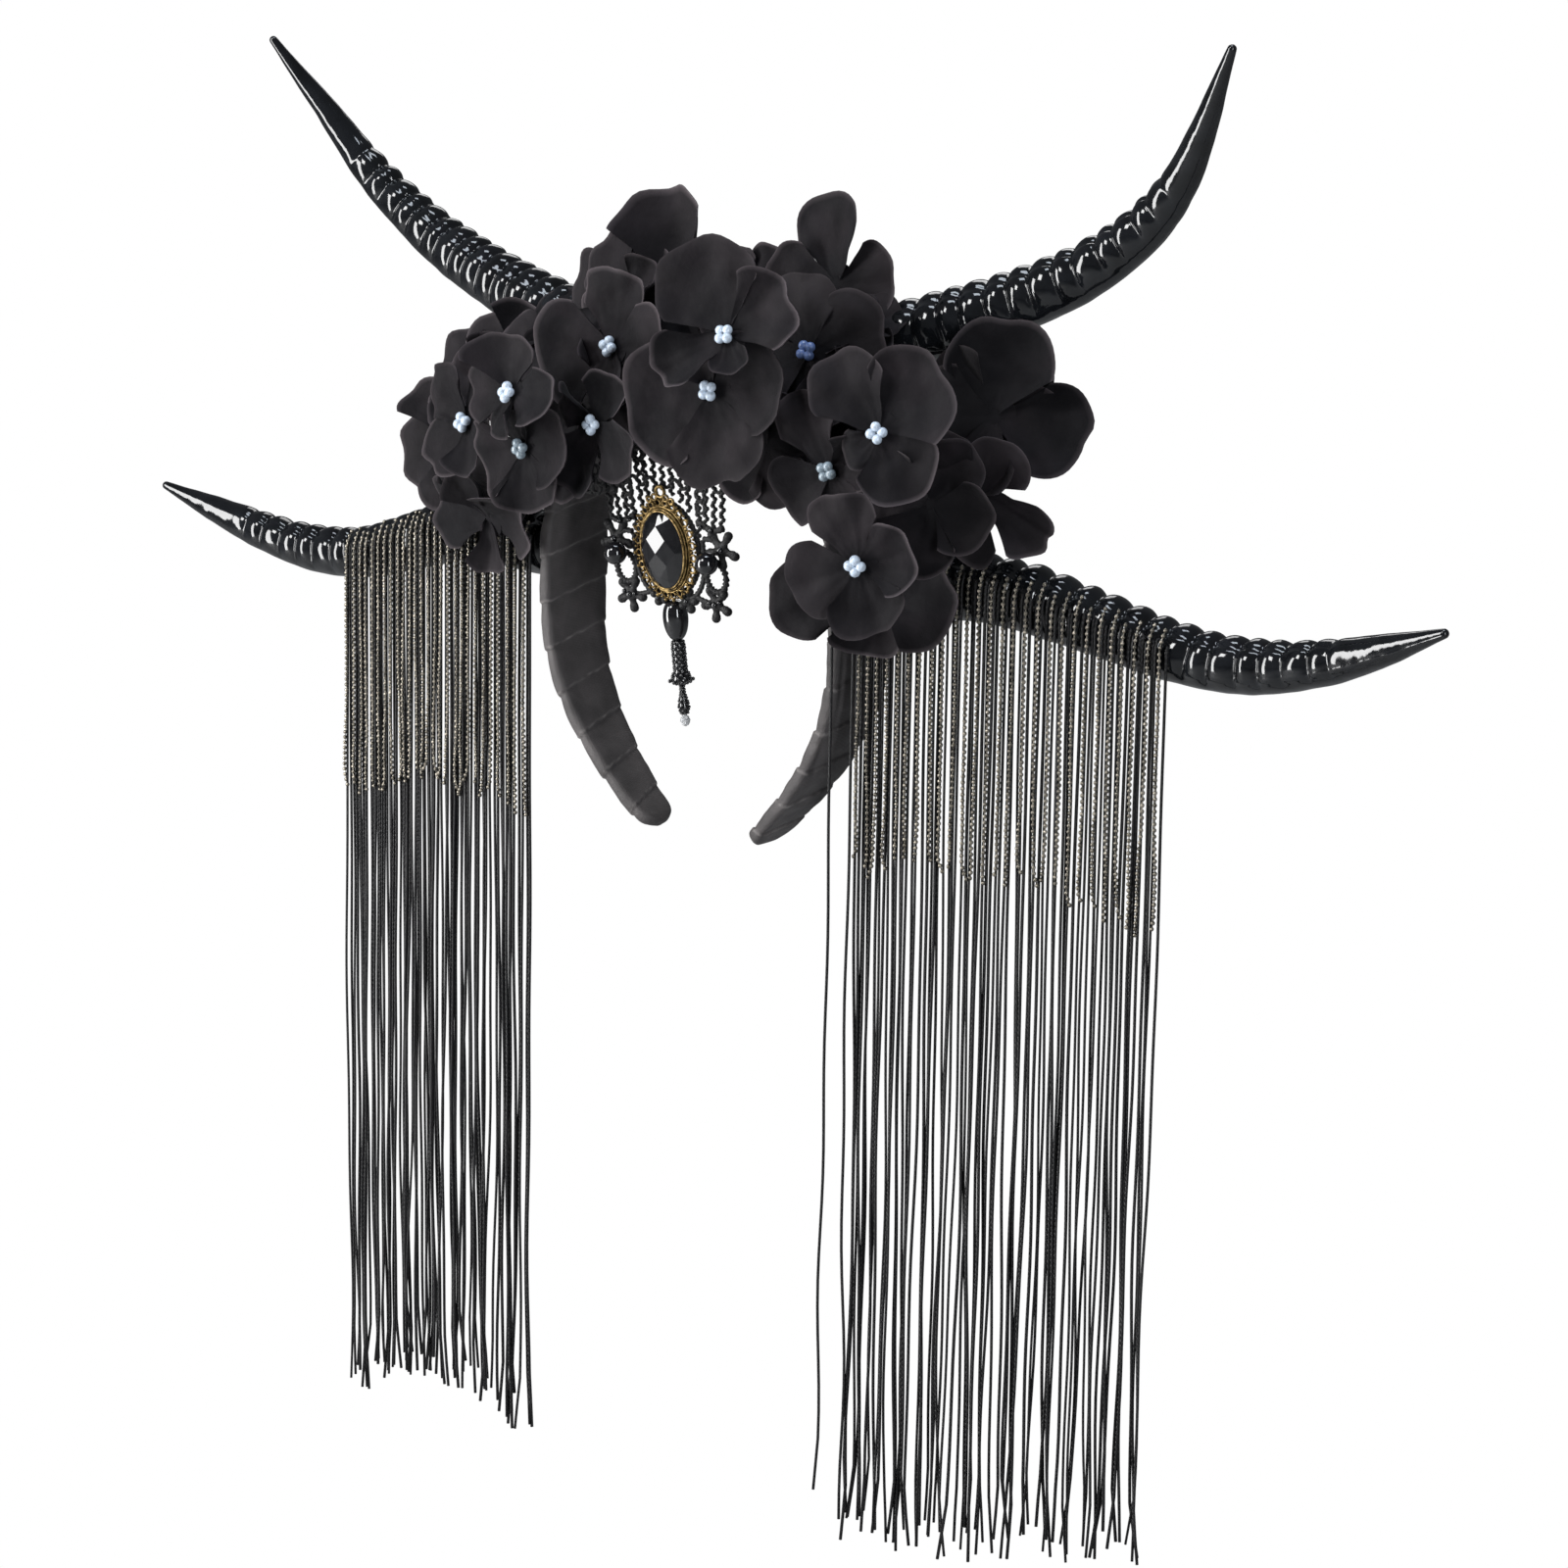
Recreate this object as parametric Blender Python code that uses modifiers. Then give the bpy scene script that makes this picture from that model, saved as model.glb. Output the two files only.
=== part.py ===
"""Antelope horn headband: a ribbon-wrapped arch with two pairs of ribbed horns, a bed of cloth flowers,
a chain and thread fringe on each lower horn, and an oval medallion on lace over the forehead.

Metres, +Z up. The origin is the inner top centre of the headband, where it sits on the head.
The wearer faces -Y, and the legs of the headband go down along -Z.
"""
import math

import bmesh
import bpy
import numpy as np
from mathutils import Matrix, Vector
from mathutils.bvhtree import BVHTree

MM = 0.001
GAP = 0.3 * MM                      # between pieces that touch

# Headband, as an arch through the middle of its thickness
BAND_THICKNESS = 4.0 * MM
BAND_WIDTH = 32.0 * MM
BAND_TIP_WIDTH = 15.0 * MM
BAND_HALF_SPAN = 65.0 * MM          # centre to the widest place
BAND_RISE = 58.0 * MM               # widest place up to the top
BAND_DROP = 95.0 * MM               # widest place down to the tips
BAND_TIP_HALF_GAP = 22.6 * MM
BAND_TIP_ANGLE = math.radians(41.0)
BAND_LEG_FULLNESS = 66.0 * MM       # how long a leg keeps its way at the tip
BAND_SHOULDER = 25.0 * MM           # how long a leg stays upright at the widest place
BAND_EDGE_ROUND = 1.2 * MM
BAND_NARROWING = 0.55               # share of a leg's length over which it narrows
BAND_STATIONS = 27

# Upper horns, from the top of the band to the tips
UPPER_REACH = 210.0 * MM            # centre to tip, sideways
UPPER_RISE = 105.0 * MM             # base up to tip
UPPER_BOW = 12.0 * MM               # furthest back from the band's plane
UPPER_BASE_OUT = 12.0 * MM
UPPER_BASE_HEIGHT = 16.1 * MM       # so that the base's underside meets the band
UPPER_BASE_RADIUS = 13.0 * MM

# Lower horns, from the sides of the band to the tips
LOWER_REACH = 285.5 * MM
LOWER_DIP = 15.0 * MM               # base down to the lowest place
LOWER_BOW = 16.0 * MM
LOWER_BASE_RADIUS = 12.0 * MM

RIB_PITCH = 9.2 * MM
RIB_DEPTH = 1.7 * MM
HORN_SIDES = 8

# Each row: share of the way out, share of the rise, share of the bow
UPPER_ROUTE = (
    (0.000, 0.00, 0.00),
    (0.116, 0.02, 0.08),
    (0.242, 0.06, 0.25),
    (0.384, 0.13, 0.45),
    (0.530, 0.22, 0.75),
    (0.657, 0.32, 1.00),
    (0.768, 0.45, 1.00),
    (0.854, 0.60, 0.72),
    (0.919, 0.77, 0.22),
    (0.965, 0.90, -0.30),
    (1.000, 1.00, -0.67),
)
# Each row: share of the way out, share of the dip (upwards is positive), share of the bow
LOWER_ROUTE = (
    (0.000, 0.00, 0.00),
    (0.060, 0.06, 0.00),
    (0.130, 0.13, 0.03),
    (0.205, 0.16, 0.19),
    (0.280, 0.03, 0.38),
    (0.365, -0.28, 0.63),
    (0.457, -0.63, 0.84),
    (0.521, -0.86, 0.97),
    (0.610, -1.00, 1.00),
    (0.698, -0.93, 0.94),
    (0.801, -0.64, 0.81),
    (0.901, -0.20, 0.56),
    (1.000, 0.30, 0.25),
)
# Each row: share of the horn's length, share of its base radius
UPPER_TAPER = (
    (0.00, 1.00),
    (0.35, 0.92),
    (0.55, 0.78),
    (0.72, 0.60),
    (0.80, 0.46),
    (0.90, 0.30),
    (1.00, 0.12),
)
LOWER_TAPER = (
    (0.00, 1.00),
    (0.30, 0.96),
    (0.50, 0.84),
    (0.66, 0.76),
    (0.80, 0.60),
    (0.90, 0.40),
    (1.00, 0.13),
)
RIBS_END = 0.79                     # share of a horn's length that has ribs
SMOOTH_SHARES = (0.2, 0.45, 0.7, 0.88, 1.0)   # cross sections of the smooth end
RIB_LEAST = 0.3                     # depth of a rib below the horn, as a share of that above it
HORN_TIP_BLUNT = 0.6                # length of the tip's cone, in tip radii

# Fringes on the lower horns
FRINGE_IN = 74.0 * MM               # sideways, from the centre to the first strand
FRINGE_OUT = 186.0 * MM
THREAD_LAYER = 1.2 * MM
THREAD_STRIPS = 10
THREAD_STRIP_SHARE = 0.74           # of the pitch of the strips
THREAD_END = -376.0 * MM            # height of the free ends
CHAIN_LAYER = 1.5 * MM
CHAIN_STRIPS = 9
CHAIN_STRIP_SHARE = 0.66
CHAIN_END = -147.0 * MM
FRINGE_CLEARANCE = 0.7 * MM         # header over the horn's rings
CHAIN_CLEARANCE = 0.5 * MM          # chains over the header
FRINGE_WRAP = (110, 82, 54, 27, 0)   # degrees round the horn, from the front up over its top
CHAIN_RAIL_ROWS = 2                 # rows of the wrap that the chains' rail takes

# Each row: share from the inner to the outer strand, drop of the ends below the nominal height
THREAD_ENDS_LEFT = ((0.0, 6.0 * MM), (0.25, -5.0 * MM), (0.7, 0.0), (0.9, 13.0 * MM), (1.0, 19.0 * MM))
THREAD_ENDS_RIGHT = ((0.0, 7.0 * MM), (0.5, 1.0 * MM), (1.0, -10.0 * MM))
CHAIN_ENDS = ((0.0, 4.0 * MM), (0.3, 0.0), (0.6, 1.0 * MM), (0.8, 8.0 * MM), (1.0, 14.0 * MM))

# Lace panel, which leaves the band's front edge, comes forward and hangs leaning back
LACE_THICKNESS = 1.2 * MM
LACE_HALF_WIDTH = 33.0 * MM
LACE_HEIGHT = 58.0 * MM             # knee of the lace down to the lower stars' tips
LACE_KNEE = Vector((0.0, -29.0 * MM, -14.0 * MM))
LACE_LEAN = math.radians(9.0)
LACE_SEAT = Vector((0.0, -BAND_WIDTH / 2 - GAP - LACE_THICKNESS / 2, 1.5 * MM))
LACE_RUN = LACE_SEAT - LACE_KNEE    # from the knee back to the band
LACE_CORD = 1.1 * MM
# Each row: share of the half width, share of the height below the knee, down the right edge
LACE_EDGE = (
    (0.98, 0.00),
    (0.90, 0.22),
    (0.80, 0.45),
    (0.88, 0.50),
    (0.76, 0.55),
    (0.96, 0.64),
    (0.90, 0.69),
    (0.70, 0.66),
    (0.68, 0.77),
    (0.74, 0.85),
    (0.88, 0.92),
    (0.82, 0.97),
    (0.66, 0.94),
    (0.64, 1.03),
    (0.54, 1.02),
    (0.52, 0.92),
    (0.36, 0.90),
    (0.24, 0.84),
    (0.12, 0.90),
)
LACE_SLITS = 7                      # upright gaps between the cords, to each side
LACE_SLIT_SPREAD = 0.94             # share of the panel's width that they take
LACE_SLITS_END = 0.42               # share of the height
# Each row: share of a slit's length, share of its half width, once round the slit
LACE_SLIT_SHAPE = (
    (0.00, 0.0),
    (0.08, 0.9),
    (0.92, 0.9),
    (1.00, 0.0),
    (0.92, -0.9),
    (0.08, -0.9),
)
LACE_SLITS_START = 0.35             # share of the way from the knee to the band
LACE_SEAT_SHARE = 0.9               # of the half width, where the lace meets the band
# Each row: share of the half width, share of the height, half sizes as shares of the same
LACE_HOLES = (
    (0.62, 0.72, 0.040, 0.040),
    (0.60, 0.81, 0.045, 0.028),
    (0.52, 0.62, 0.040, 0.050),
    (0.67, 0.60, 0.036, 0.018),
    (0.77, 0.60, 0.036, 0.018),
    (0.60, 0.91, 0.030, 0.014),
    (0.70, 0.90, 0.030, 0.014),
    (0.42, 0.80, 0.036, 0.026),
)

# Medallion: an oval brass setting with a scalloped, pierced border, and a cut black stone
SETTING_HALF_WIDTH = 15.0 * MM
SETTING_HALF_HEIGHT = 18.0 * MM
SETTING_BASE = 1.6 * MM
SETTING_RIM_HEIGHT = 3.2 * MM
SETTING_RIM_WIDTH = 1.3 * MM
SETTING_SCALLOPS = 16
SETTING_SCALLOP_DEPTH = 1.3 * MM
SETTING_ABOVE_END = 23.0 * MM       # medallion's centre above the lace's lower end
SETTING_BELOW_KNEE = LACE_HEIGHT - SETTING_ABOVE_END
SETTING_HOLE_RADIUS = 0.65 * MM
BAIL_RADIUS = 2.2 * MM
BAIL_WIRE_RADIUS = 0.64 * MM
BAIL_ABOVE = 1.3 * MM               # loop's centre above the medallion's edge
BAIL_SECTIONS = 10
BAIL_SIDES = 6
STONE_HALF_WIDTH = 9.2 * MM
STONE_HALF_HEIGHT = 13.3 * MM
STONE_HEIGHT = 4.6 * MM
STONE_GIRDLE = 1.2 * MM
STONE_TABLE_SHARE = 0.46
STONE_CROWN_SHARE = 0.84            # size of the facets' outer row
STONE_CROWN_HEIGHT = 0.55           # its height, as a share from the girdle to the table
STONE_SIDES = 16

# Beads beside the medallion, and the drop that hangs below it
BEAD_RADIUS = 4.0 * MM
BEAD_OUT = 20.6 * MM
BEAD_BELOW_CENTRE = 2.5 * MM        # below the medallion's centre
BEAD_BELOW_KNEE = SETTING_BELOW_KNEE + BEAD_BELOW_CENTRE
DROP_CLEARANCE = 0.5 * MM           # wire between the medallion's edge and the pear bead
PEAR_LENGTH = 14.0 * MM
COLUMN_LENGTH = 16.0 * MM
TIP_LENGTH = 10.5 * MM
CRYSTAL_LENGTH = 3.6 * MM
# Each row: radius, share of the length from the top
PEAR_SHAPE = (
    (0.0, 0.0),
    (1.4 * MM, 0.02),
    (3.0 * MM, 0.14),
    (3.9 * MM, 0.32),
    (4.0 * MM, 0.45),
    (3.4 * MM, 0.65),
    (2.2 * MM, 0.88),
    (1.6 * MM, 1.00),
    (0.0, 1.0),
)
COLUMN_SHAPE = (
    (0.0, 0.0),
    (1.8 * MM, 0.00),
    (2.5 * MM, 0.10),
    (2.5 * MM, 0.66),
    (4.3 * MM, 0.88),
    (3.5 * MM, 0.94),
    (1.0 * MM, 1.00),
    (0.0, 1.0),
)
TIP_SHAPE = (
    (0.0, 0.0),
    (0.7 * MM, 0.00),
    (1.0 * MM, 0.35),
    (1.8 * MM, 0.55),
    (2.3 * MM, 0.78),
    (1.6 * MM, 0.97),
    (0.9 * MM, 1.00),
    (0.0, 1.0),
)
CRYSTAL_SHAPE = (
    (0.0, 0.0),
    (1.0 * MM, 0.00),
    (1.6 * MM, 0.40),
    (0.8 * MM, 0.85),
    (0.0, 1.0),
)
TURNED_SIDES = 10

# Flowers: four petals and a calyx behind, each brought straight in from the front until it is seated
PETAL_LENGTH = 32.0 * MM
PETAL_THICKNESS = 1.1 * MM
CALYX_DEPTH = 4.0 * MM
FLOWER_EYE = 1.2 * MM               # rise of the middle
FLOWER_SEAT = 0.4 * MM
FLOWER_BED_WIDTH = 100.0 * MM       # scales the places sideways
FLOWER_BED_HEIGHT = BAND_RISE + BAND_THICKNESS / 2   # scales the places up and down
PETAL_COLUMNS = (-45, -24, 0, 24)    # degrees from a petal's middle line
PETAL_OUTLINE = (0.62, 0.97, 0.99, 1.00)     # share of the petal's length at each column
PETAL_ROWS = (0.22, 0.62, 1.0)      # shares of the way out
PETAL_WAVE = 0.07                   # of the petal's length
PETAL_LIFT_SHARE = 0.6              # of the wave, between one pair of petals and the other
CUP_POWER = 1.7                     # how late a petal turns forward
SEAT_STEP = 2.0 * MM                # first step of the search for a seat, then halved
SEAT_PRECISION = 0.1 * MM

# Each row: name, sideways, up, turned to the side, tilted up, size, turned in its own plane, cup (degrees)
FLOWERS = (
    ("flower_top_left", -0.12, 0.58, -5, 15, 1.00, 0, 10),
    ("flower_back_left", -0.28, 0.56, -15, 20, 0.85, 40, 8),
    ("flower_top_right", 0.58, 0.72, 15, 15, 0.95, 0, 10),
    ("flower_far_left", -1.24, -0.36, -10, 10, 0.95, 20, 8),
    ("flower_far_right", 1.20, 0.05, 35, 10, 1.00, 25, 8),
    ("flower_outer_right", 1.24, -0.34, 30, -15, 0.85, 60, 8),
    ("flower_low_left", -0.84, -0.76, -10, -20, 0.90, 30, 6),
    ("flower_low_right", 0.86, -0.95, 15, -10, 0.95, 15, 6),
    ("flower_inner_right", 0.60, 0.36, 15, 15, 0.90, 20, 6),
    ("flower_upper_left", -0.18, 0.32, -5, 10, 0.95, 50, 6),
    ("flower_side_left", -0.84, -0.18, -10, 5, 0.80, 45, 8),
    ("flower_front_left", -0.16, -0.10, -5, -5, 0.80, 25, 8),
    ("flower_inner_left", -0.44, -0.26, -5, -10, 0.75, 10, 6),
    ("flower_mid_left", -0.40, 0.06, -10, 10, 0.80, 0, 8),
    ("flower_lower_right", 0.79, -0.25, 10, -5, 0.80, 35, 6),
    ("flower_front_right", 1.02, -0.02, 20, 5, 1.00, 30, 6),
    ("flower_front_centre", 0.39, 0.15, 5, 0, 1.05, 5, 6),
    ("flower_upper_centre", 0.50, 0.46, 10, 15, 1.00, 50, 10),
    ("flower_lowest_right", 1.00, -0.72, 15, -5, 1.00, 50, 6),
    ("flower_rear_left", -0.40, 0.30, 195, 20, 1.00, 50, 10),
    ("flower_rear_right", 0.40, 0.30, 165, 20, 1.00, 0, 10),
)

BLACK_RIBBON = ((0.02, 0.02, 0.022), 0.75, 0.0)
BLACK_HORN = ((0.008, 0.009, 0.011), 0.18, 0.0)
BLACK_PETAL = ((0.022, 0.019, 0.022), 0.85, 0.0)
BLACK_THREAD = ((0.012, 0.012, 0.013), 0.45, 0.0)
DARK_CHAIN = ((0.12, 0.11, 0.10), 0.3, 1.0)
BLACK_LACE = ((0.01, 0.01, 0.011), 0.7, 0.0)
OLD_BRASS = ((0.28, 0.19, 0.08), 0.35, 1.0)
BLACK_GLASS = ((0.01, 0.01, 0.012), 0.05, 0.0)
CLEAR_GLASS = ((0.8, 0.82, 0.85), 0.05, 0.0)

parts = bpy.data.collections.new("antelope_horn_headband")
cutters = bpy.data.collections.new("cutters")


def clear_scene():
    for obj in list(bpy.data.objects):
        bpy.data.objects.remove(obj, do_unlink=True)
    bpy.context.scene.collection.children.link(parts)
    bpy.context.scene.collection.children.link(cutters)


def make_material(name, look):
    colour, roughness, metallic = look
    material = bpy.data.materials.new(name)
    material.use_nodes = True
    shader = material.node_tree.nodes["Principled BSDF"]
    shader.inputs["Base Color"].default_value = (*colour, 1.0)
    shader.inputs["Roughness"].default_value = roughness
    shader.inputs["Metallic"].default_value = metallic
    return material


def add_part(name, mesh, look, sharp_angle=50):
    """Put a mesh in the parts collection under its node's name, with a material of its own."""
    obj = bpy.data.objects.new(name, mesh)
    mesh.materials.clear()
    mesh.materials.append(make_material(name, look))
    mesh.shade_smooth()
    mesh.set_sharp_from_angle(angle=math.radians(sharp_angle))
    parts.objects.link(obj)
    return obj


def loft(name, rings, start=None, end=None):
    """A closed mesh through rings of equally many points, ended by flat faces or by fans to a point."""
    bm = bmesh.new()
    loops = [[bm.verts.new(point) for point in ring] for ring in rings]
    count = len(loops[0])
    for near, far in zip(loops, loops[1:]):
        for i in range(count):
            j = (i + 1) % count
            bm.faces.new((near[i], near[j], far[j], far[i]))
    for loop, apex in ((loops[0], start), (loops[-1], end)):
        if apex is None:
            bm.faces.new(loop)
            continue
        tip = bm.verts.new(apex)
        for i in range(count):
            bm.faces.new((loop[i], loop[(i + 1) % count], tip))
    bmesh.ops.recalc_face_normals(bm, faces=bm.faces)
    mesh = bpy.data.meshes.new(name)
    bm.to_mesh(mesh)
    bm.free()
    return mesh


def table_value(table, share):
    """The value of a two-column table at a share, with straight steps between its rows."""
    return float(np.interp(share, [row[0] for row in table], [row[1] for row in table]))


def smooth_route(points, steps=16):
    """Points on a curve that passes through the given ones (Catmull-Rom), as an array."""
    knots = np.array([2 * points[0] - points[1], *points, 2 * points[-1] - points[-2]], dtype=float)
    curve = []
    for a, b, c, d in zip(knots, knots[1:], knots[2:], knots[3:]):
        for step in range(steps):
            t = step / steps
            curve.append(0.5 * (2 * b + (c - a) * t + (2 * a - 5 * b + 4 * c - d) * t ** 2
                                + (3 * b - a - 3 * c + d) * t ** 3))
    curve.append(knots[-2])
    return np.array(curve)


class Route:
    """A smooth centre line that is read by shares of its length."""

    def __init__(self, points):
        self.curve = smooth_route(points)
        steps = np.linalg.norm(np.diff(self.curve, axis=0), axis=1)
        self.along = np.concatenate(([0.0], np.cumsum(steps)))
        self.length = self.along[-1]

    def at(self, share):
        return np.array([np.interp(share * self.length, self.along, self.curve[:, k]) for k in range(3)])

    def direction(self, share):
        reach = 0.01
        ahead = self.at(min(1.0, share + reach)) - self.at(max(0.0, share - reach))
        return ahead / np.linalg.norm(ahead)

    def share_at_x(self, x):
        return float(np.interp(x, self.curve[:, 0], self.along)) / self.length


def band_half_path(count):
    """Points (x, z) of the band's middle line from the top centre to the tip of the right leg."""
    top = BAND_THICKNESS / 2
    widest = top - BAND_RISE
    path = [(BAND_HALF_SPAN * math.sin(a), widest + BAND_RISE * math.cos(a))
            for a in np.linspace(0.0, math.pi / 2, count)]
    tip = (BAND_TIP_HALF_GAP, widest - BAND_DROP)
    above_tip = (tip[0] + BAND_LEG_FULLNESS * math.cos(BAND_TIP_ANGLE),
                 tip[1] + BAND_LEG_FULLNESS * math.sin(BAND_TIP_ANGLE))
    hull = np.array([(BAND_HALF_SPAN, widest), (BAND_HALF_SPAN, widest - BAND_SHOULDER), above_tip, tip])
    for t in np.linspace(0.0, 1.0, count)[1:]:
        weights = np.array([(1 - t) ** 3, 3 * t * (1 - t) ** 2, 3 * t * t * (1 - t), t ** 3])
        path.append(tuple(weights @ hull))
    return np.array(path)


def make_headband():
    """The wrapped arch: rounded edges, legs that narrow to rounded tips."""
    half = band_half_path(14)
    path = np.vstack((half[:0:-1] * (-1, 1), half))
    steps = np.linalg.norm(np.diff(path, axis=0), axis=1)
    along = np.concatenate(([0.0], np.cumsum(steps)))
    length = along[-1]
    leg = length / 2 * BAND_NARROWING
    stations = list(np.linspace(BAND_TIP_WIDTH / 2, length - BAND_TIP_WIDTH / 2, BAND_STATIONS))
    rounding = [BAND_TIP_WIDTH / 2 * (1 - math.cos(a)) for a in np.radians((25, 52, 74))]
    stations = rounding + stations + [length - r for r in reversed(rounding)]
    rings = []
    for s in stations:
        before, here, after = (np.array([np.interp(place, along, path[:, k]) for k in range(2)])
                               for place in (s - MM, s, s + MM))
        x, z = here
        tangent = Vector((after[0] - before[0], 0.0, after[1] - before[1])).normalized()
        outward = Vector((-tangent.z, 0.0, tangent.x))
        from_tip = min(s, length - s)
        narrowing = max(0.0, 1 - from_tip / leg)
        width = BAND_WIDTH + (BAND_TIP_WIDTH - BAND_WIDTH) * narrowing ** 1.5
        if from_tip < BAND_TIP_WIDTH / 2:
            inset = 1 - from_tip / (BAND_TIP_WIDTH / 2)
            width *= math.sqrt(max(0.05, 1 - inset ** 2))
        w, h = width / 2, BAND_THICKNESS / 2
        r = min(BAND_EDGE_ROUND, w / 2)
        outline = ((w, h - r), (w - r, h), (r - w, h), (-w, h - r),
                   (-w, r - h), (r - w, -h), (w - r, -h), (w, r - h))
        rings.append([Vector((x, y, z)) + outward * out for y, out in outline])
    return add_part("headband", loft("headband", rings), BLACK_RIBBON)


def upper_route(side):
    base = np.array((UPPER_BASE_OUT, 0.0, UPPER_BASE_HEIGHT))
    out = UPPER_REACH - UPPER_BASE_OUT
    points = [base + (a * out, c * UPPER_BOW, b * UPPER_RISE) for a, b, c in UPPER_ROUTE]
    return Route([p * (side, 1, 1) for p in points]), UPPER_BASE_RADIUS, UPPER_TAPER


def lower_route(side):
    base = np.array((BAND_HALF_SPAN + BAND_THICKNESS / 2 + GAP, 0.0, BAND_THICKNESS / 2 - BAND_RISE))
    out = LOWER_REACH - base[0]
    points = [base + (a * out, c * LOWER_BOW, b * LOWER_DIP) for a, b, c in LOWER_ROUTE]
    return Route([p * (side, 1, 1) for p in points]), LOWER_BASE_RADIUS, LOWER_TAPER


def make_horn(name, horn):
    """A tapering horn whose rings stand out most on its upper side and end before the smooth tip."""
    route, base_radius, taper = horn
    ribs = round(RIBS_END * route.length / RIB_PITCH)
    shares = [(RIBS_END * k / (2 * ribs), k % 2 == 0) for k in range(2 * ribs + 1)]
    shares += [(RIBS_END + (1 - RIBS_END) * t, True) for t in SMOOTH_SHARES]
    rings = []
    for share, is_crest in shares:
        centre = route.at(share)
        ahead = route.direction(share)
        up = np.array((0.0, 0.0, 1.0)) - ahead[2] * ahead
        up /= np.linalg.norm(up)
        across = np.cross(ahead, up)
        radius = base_radius * table_value(taper, share)
        ring = []
        for angle in np.arange(HORN_SIDES) * 2 * math.pi / HORN_SIDES:
            strength = RIB_LEAST + (1 - RIB_LEAST) * math.cos(angle / 2) ** 2
            depth = 0.0 if is_crest else RIB_DEPTH * strength * table_value(taper, share)
            reach = radius - depth
            ring.append(centre + reach * (math.cos(angle) * up + math.sin(angle) * across))
        rings.append(ring)
    tip = route.at(1.0) + route.direction(1.0) * base_radius * taper[-1][1] * HORN_TIP_BLUNT
    return add_part(name, loft(name, rings, end=tip), BLACK_HORN, sharp_angle=80)


def drape_rows(horn, x, clear, lowest):
    """The way of a strand at one place on the horn: round its top, down its front, then straight."""
    route, base_radius, taper = horn
    share = route.share_at_x(x)
    centre = route.at(share)
    ahead = route.direction(share)
    widest_step = max(a - b for a, b in zip(FRINGE_WRAP, FRINGE_WRAP[1:]))
    radius = base_radius * table_value(taper, share) / math.hypot(ahead[0], ahead[1])
    radius = (radius + clear) / math.cos(math.radians(widest_step / 2))
    rows = []
    for angle in np.radians(FRINGE_WRAP):
        rows.append((x, centre[1] - radius * math.cos(angle), centre[2] + radius * math.sin(angle)))
    front = rows[-1]
    rows.append((x, front[1], lowest))
    return rows


def make_fringe(name, side, horn, strips, strip_share, clear, layer, head_rows, end, ends, look):
    """Strips that hang side by side, joined along a head that is wrapped over the horn."""
    pitch = (FRINGE_OUT - FRINGE_IN) / strips
    bm = bmesh.new()
    columns = []
    for k in range(strips):
        for edge in (0.0, strip_share):
            x = FRINGE_IN + (k + (1 - strip_share) / 2 + edge) * pitch
            lowest = end - table_value(ends, (x - FRINGE_IN) / (FRINGE_OUT - FRINGE_IN))
            rows = drape_rows(horn, x, clear + layer / 2, lowest)
            columns.append([bm.verts.new((px * side, py, pz)) for px, py, pz in rows])
    for k, (near, far) in enumerate(zip(columns, columns[1:])):
        is_strip = k % 2 == 0
        last = len(near) - 1 if is_strip else head_rows
        for row in range(last):
            bm.faces.new((near[row], near[row + 1], far[row + 1], far[row]))
    loose = [v for v in bm.verts if not v.link_faces]
    bmesh.ops.delete(bm, geom=loose, context="VERTS")
    bmesh.ops.recalc_face_normals(bm, faces=bm.faces)
    mesh = bpy.data.meshes.new(name)
    bm.to_mesh(mesh)
    bm.free()
    obj = add_part(name, mesh, look)
    solid = obj.modifiers.new("thickness", "SOLIDIFY")
    solid.thickness = layer
    solid.offset = 0.0
    return obj


def lace_point(x, down, front=0.0):
    """A place on the lace from its distance below the knee; above the knee it runs back to the band."""
    if down < 0:
        place = LACE_KNEE + LACE_RUN * (-down / LACE_RUN.length)
        return Vector((x, place.y - front, place.z))
    along = Vector((0.0, math.sin(LACE_LEAN), -math.cos(LACE_LEAN)))
    outward = Vector((0.0, -math.cos(LACE_LEAN), -math.sin(LACE_LEAN)))
    place = LACE_KNEE + along * down + outward * front
    return Vector((x, place.y, place.z))


def flat_outline_mesh(name, outlines, thickness):
    """A flat solid in the XY plane between an outer outline and its holes."""
    curve = bpy.data.curves.new(name, "CURVE")
    curve.dimensions = "2D"
    curve.fill_mode = "BOTH"
    curve.extrude = thickness / 2
    for points in outlines:
        spline = curve.splines.new("POLY")
        spline.points.add(len(points) - 1)
        for target, (x, y) in zip(spline.points, points):
            target.co = (x, y, 0.0, 1.0)
        spline.use_cyclic_u = True
    holder = bpy.data.objects.new(name, curve)
    cutters.objects.link(holder)
    bpy.context.view_layer.update()
    mesh = bpy.data.meshes.new_from_object(holder.evaluated_get(bpy.context.evaluated_depsgraph_get()))
    bpy.data.objects.remove(holder, do_unlink=True)
    bpy.data.curves.remove(curve)
    bm = bmesh.new()
    bm.from_mesh(mesh)
    bmesh.ops.remove_doubles(bm, verts=bm.verts, dist=0.01 * MM)
    bmesh.ops.recalc_face_normals(bm, faces=bm.faces)
    bm.to_mesh(mesh)
    bm.free()
    return mesh


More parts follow.
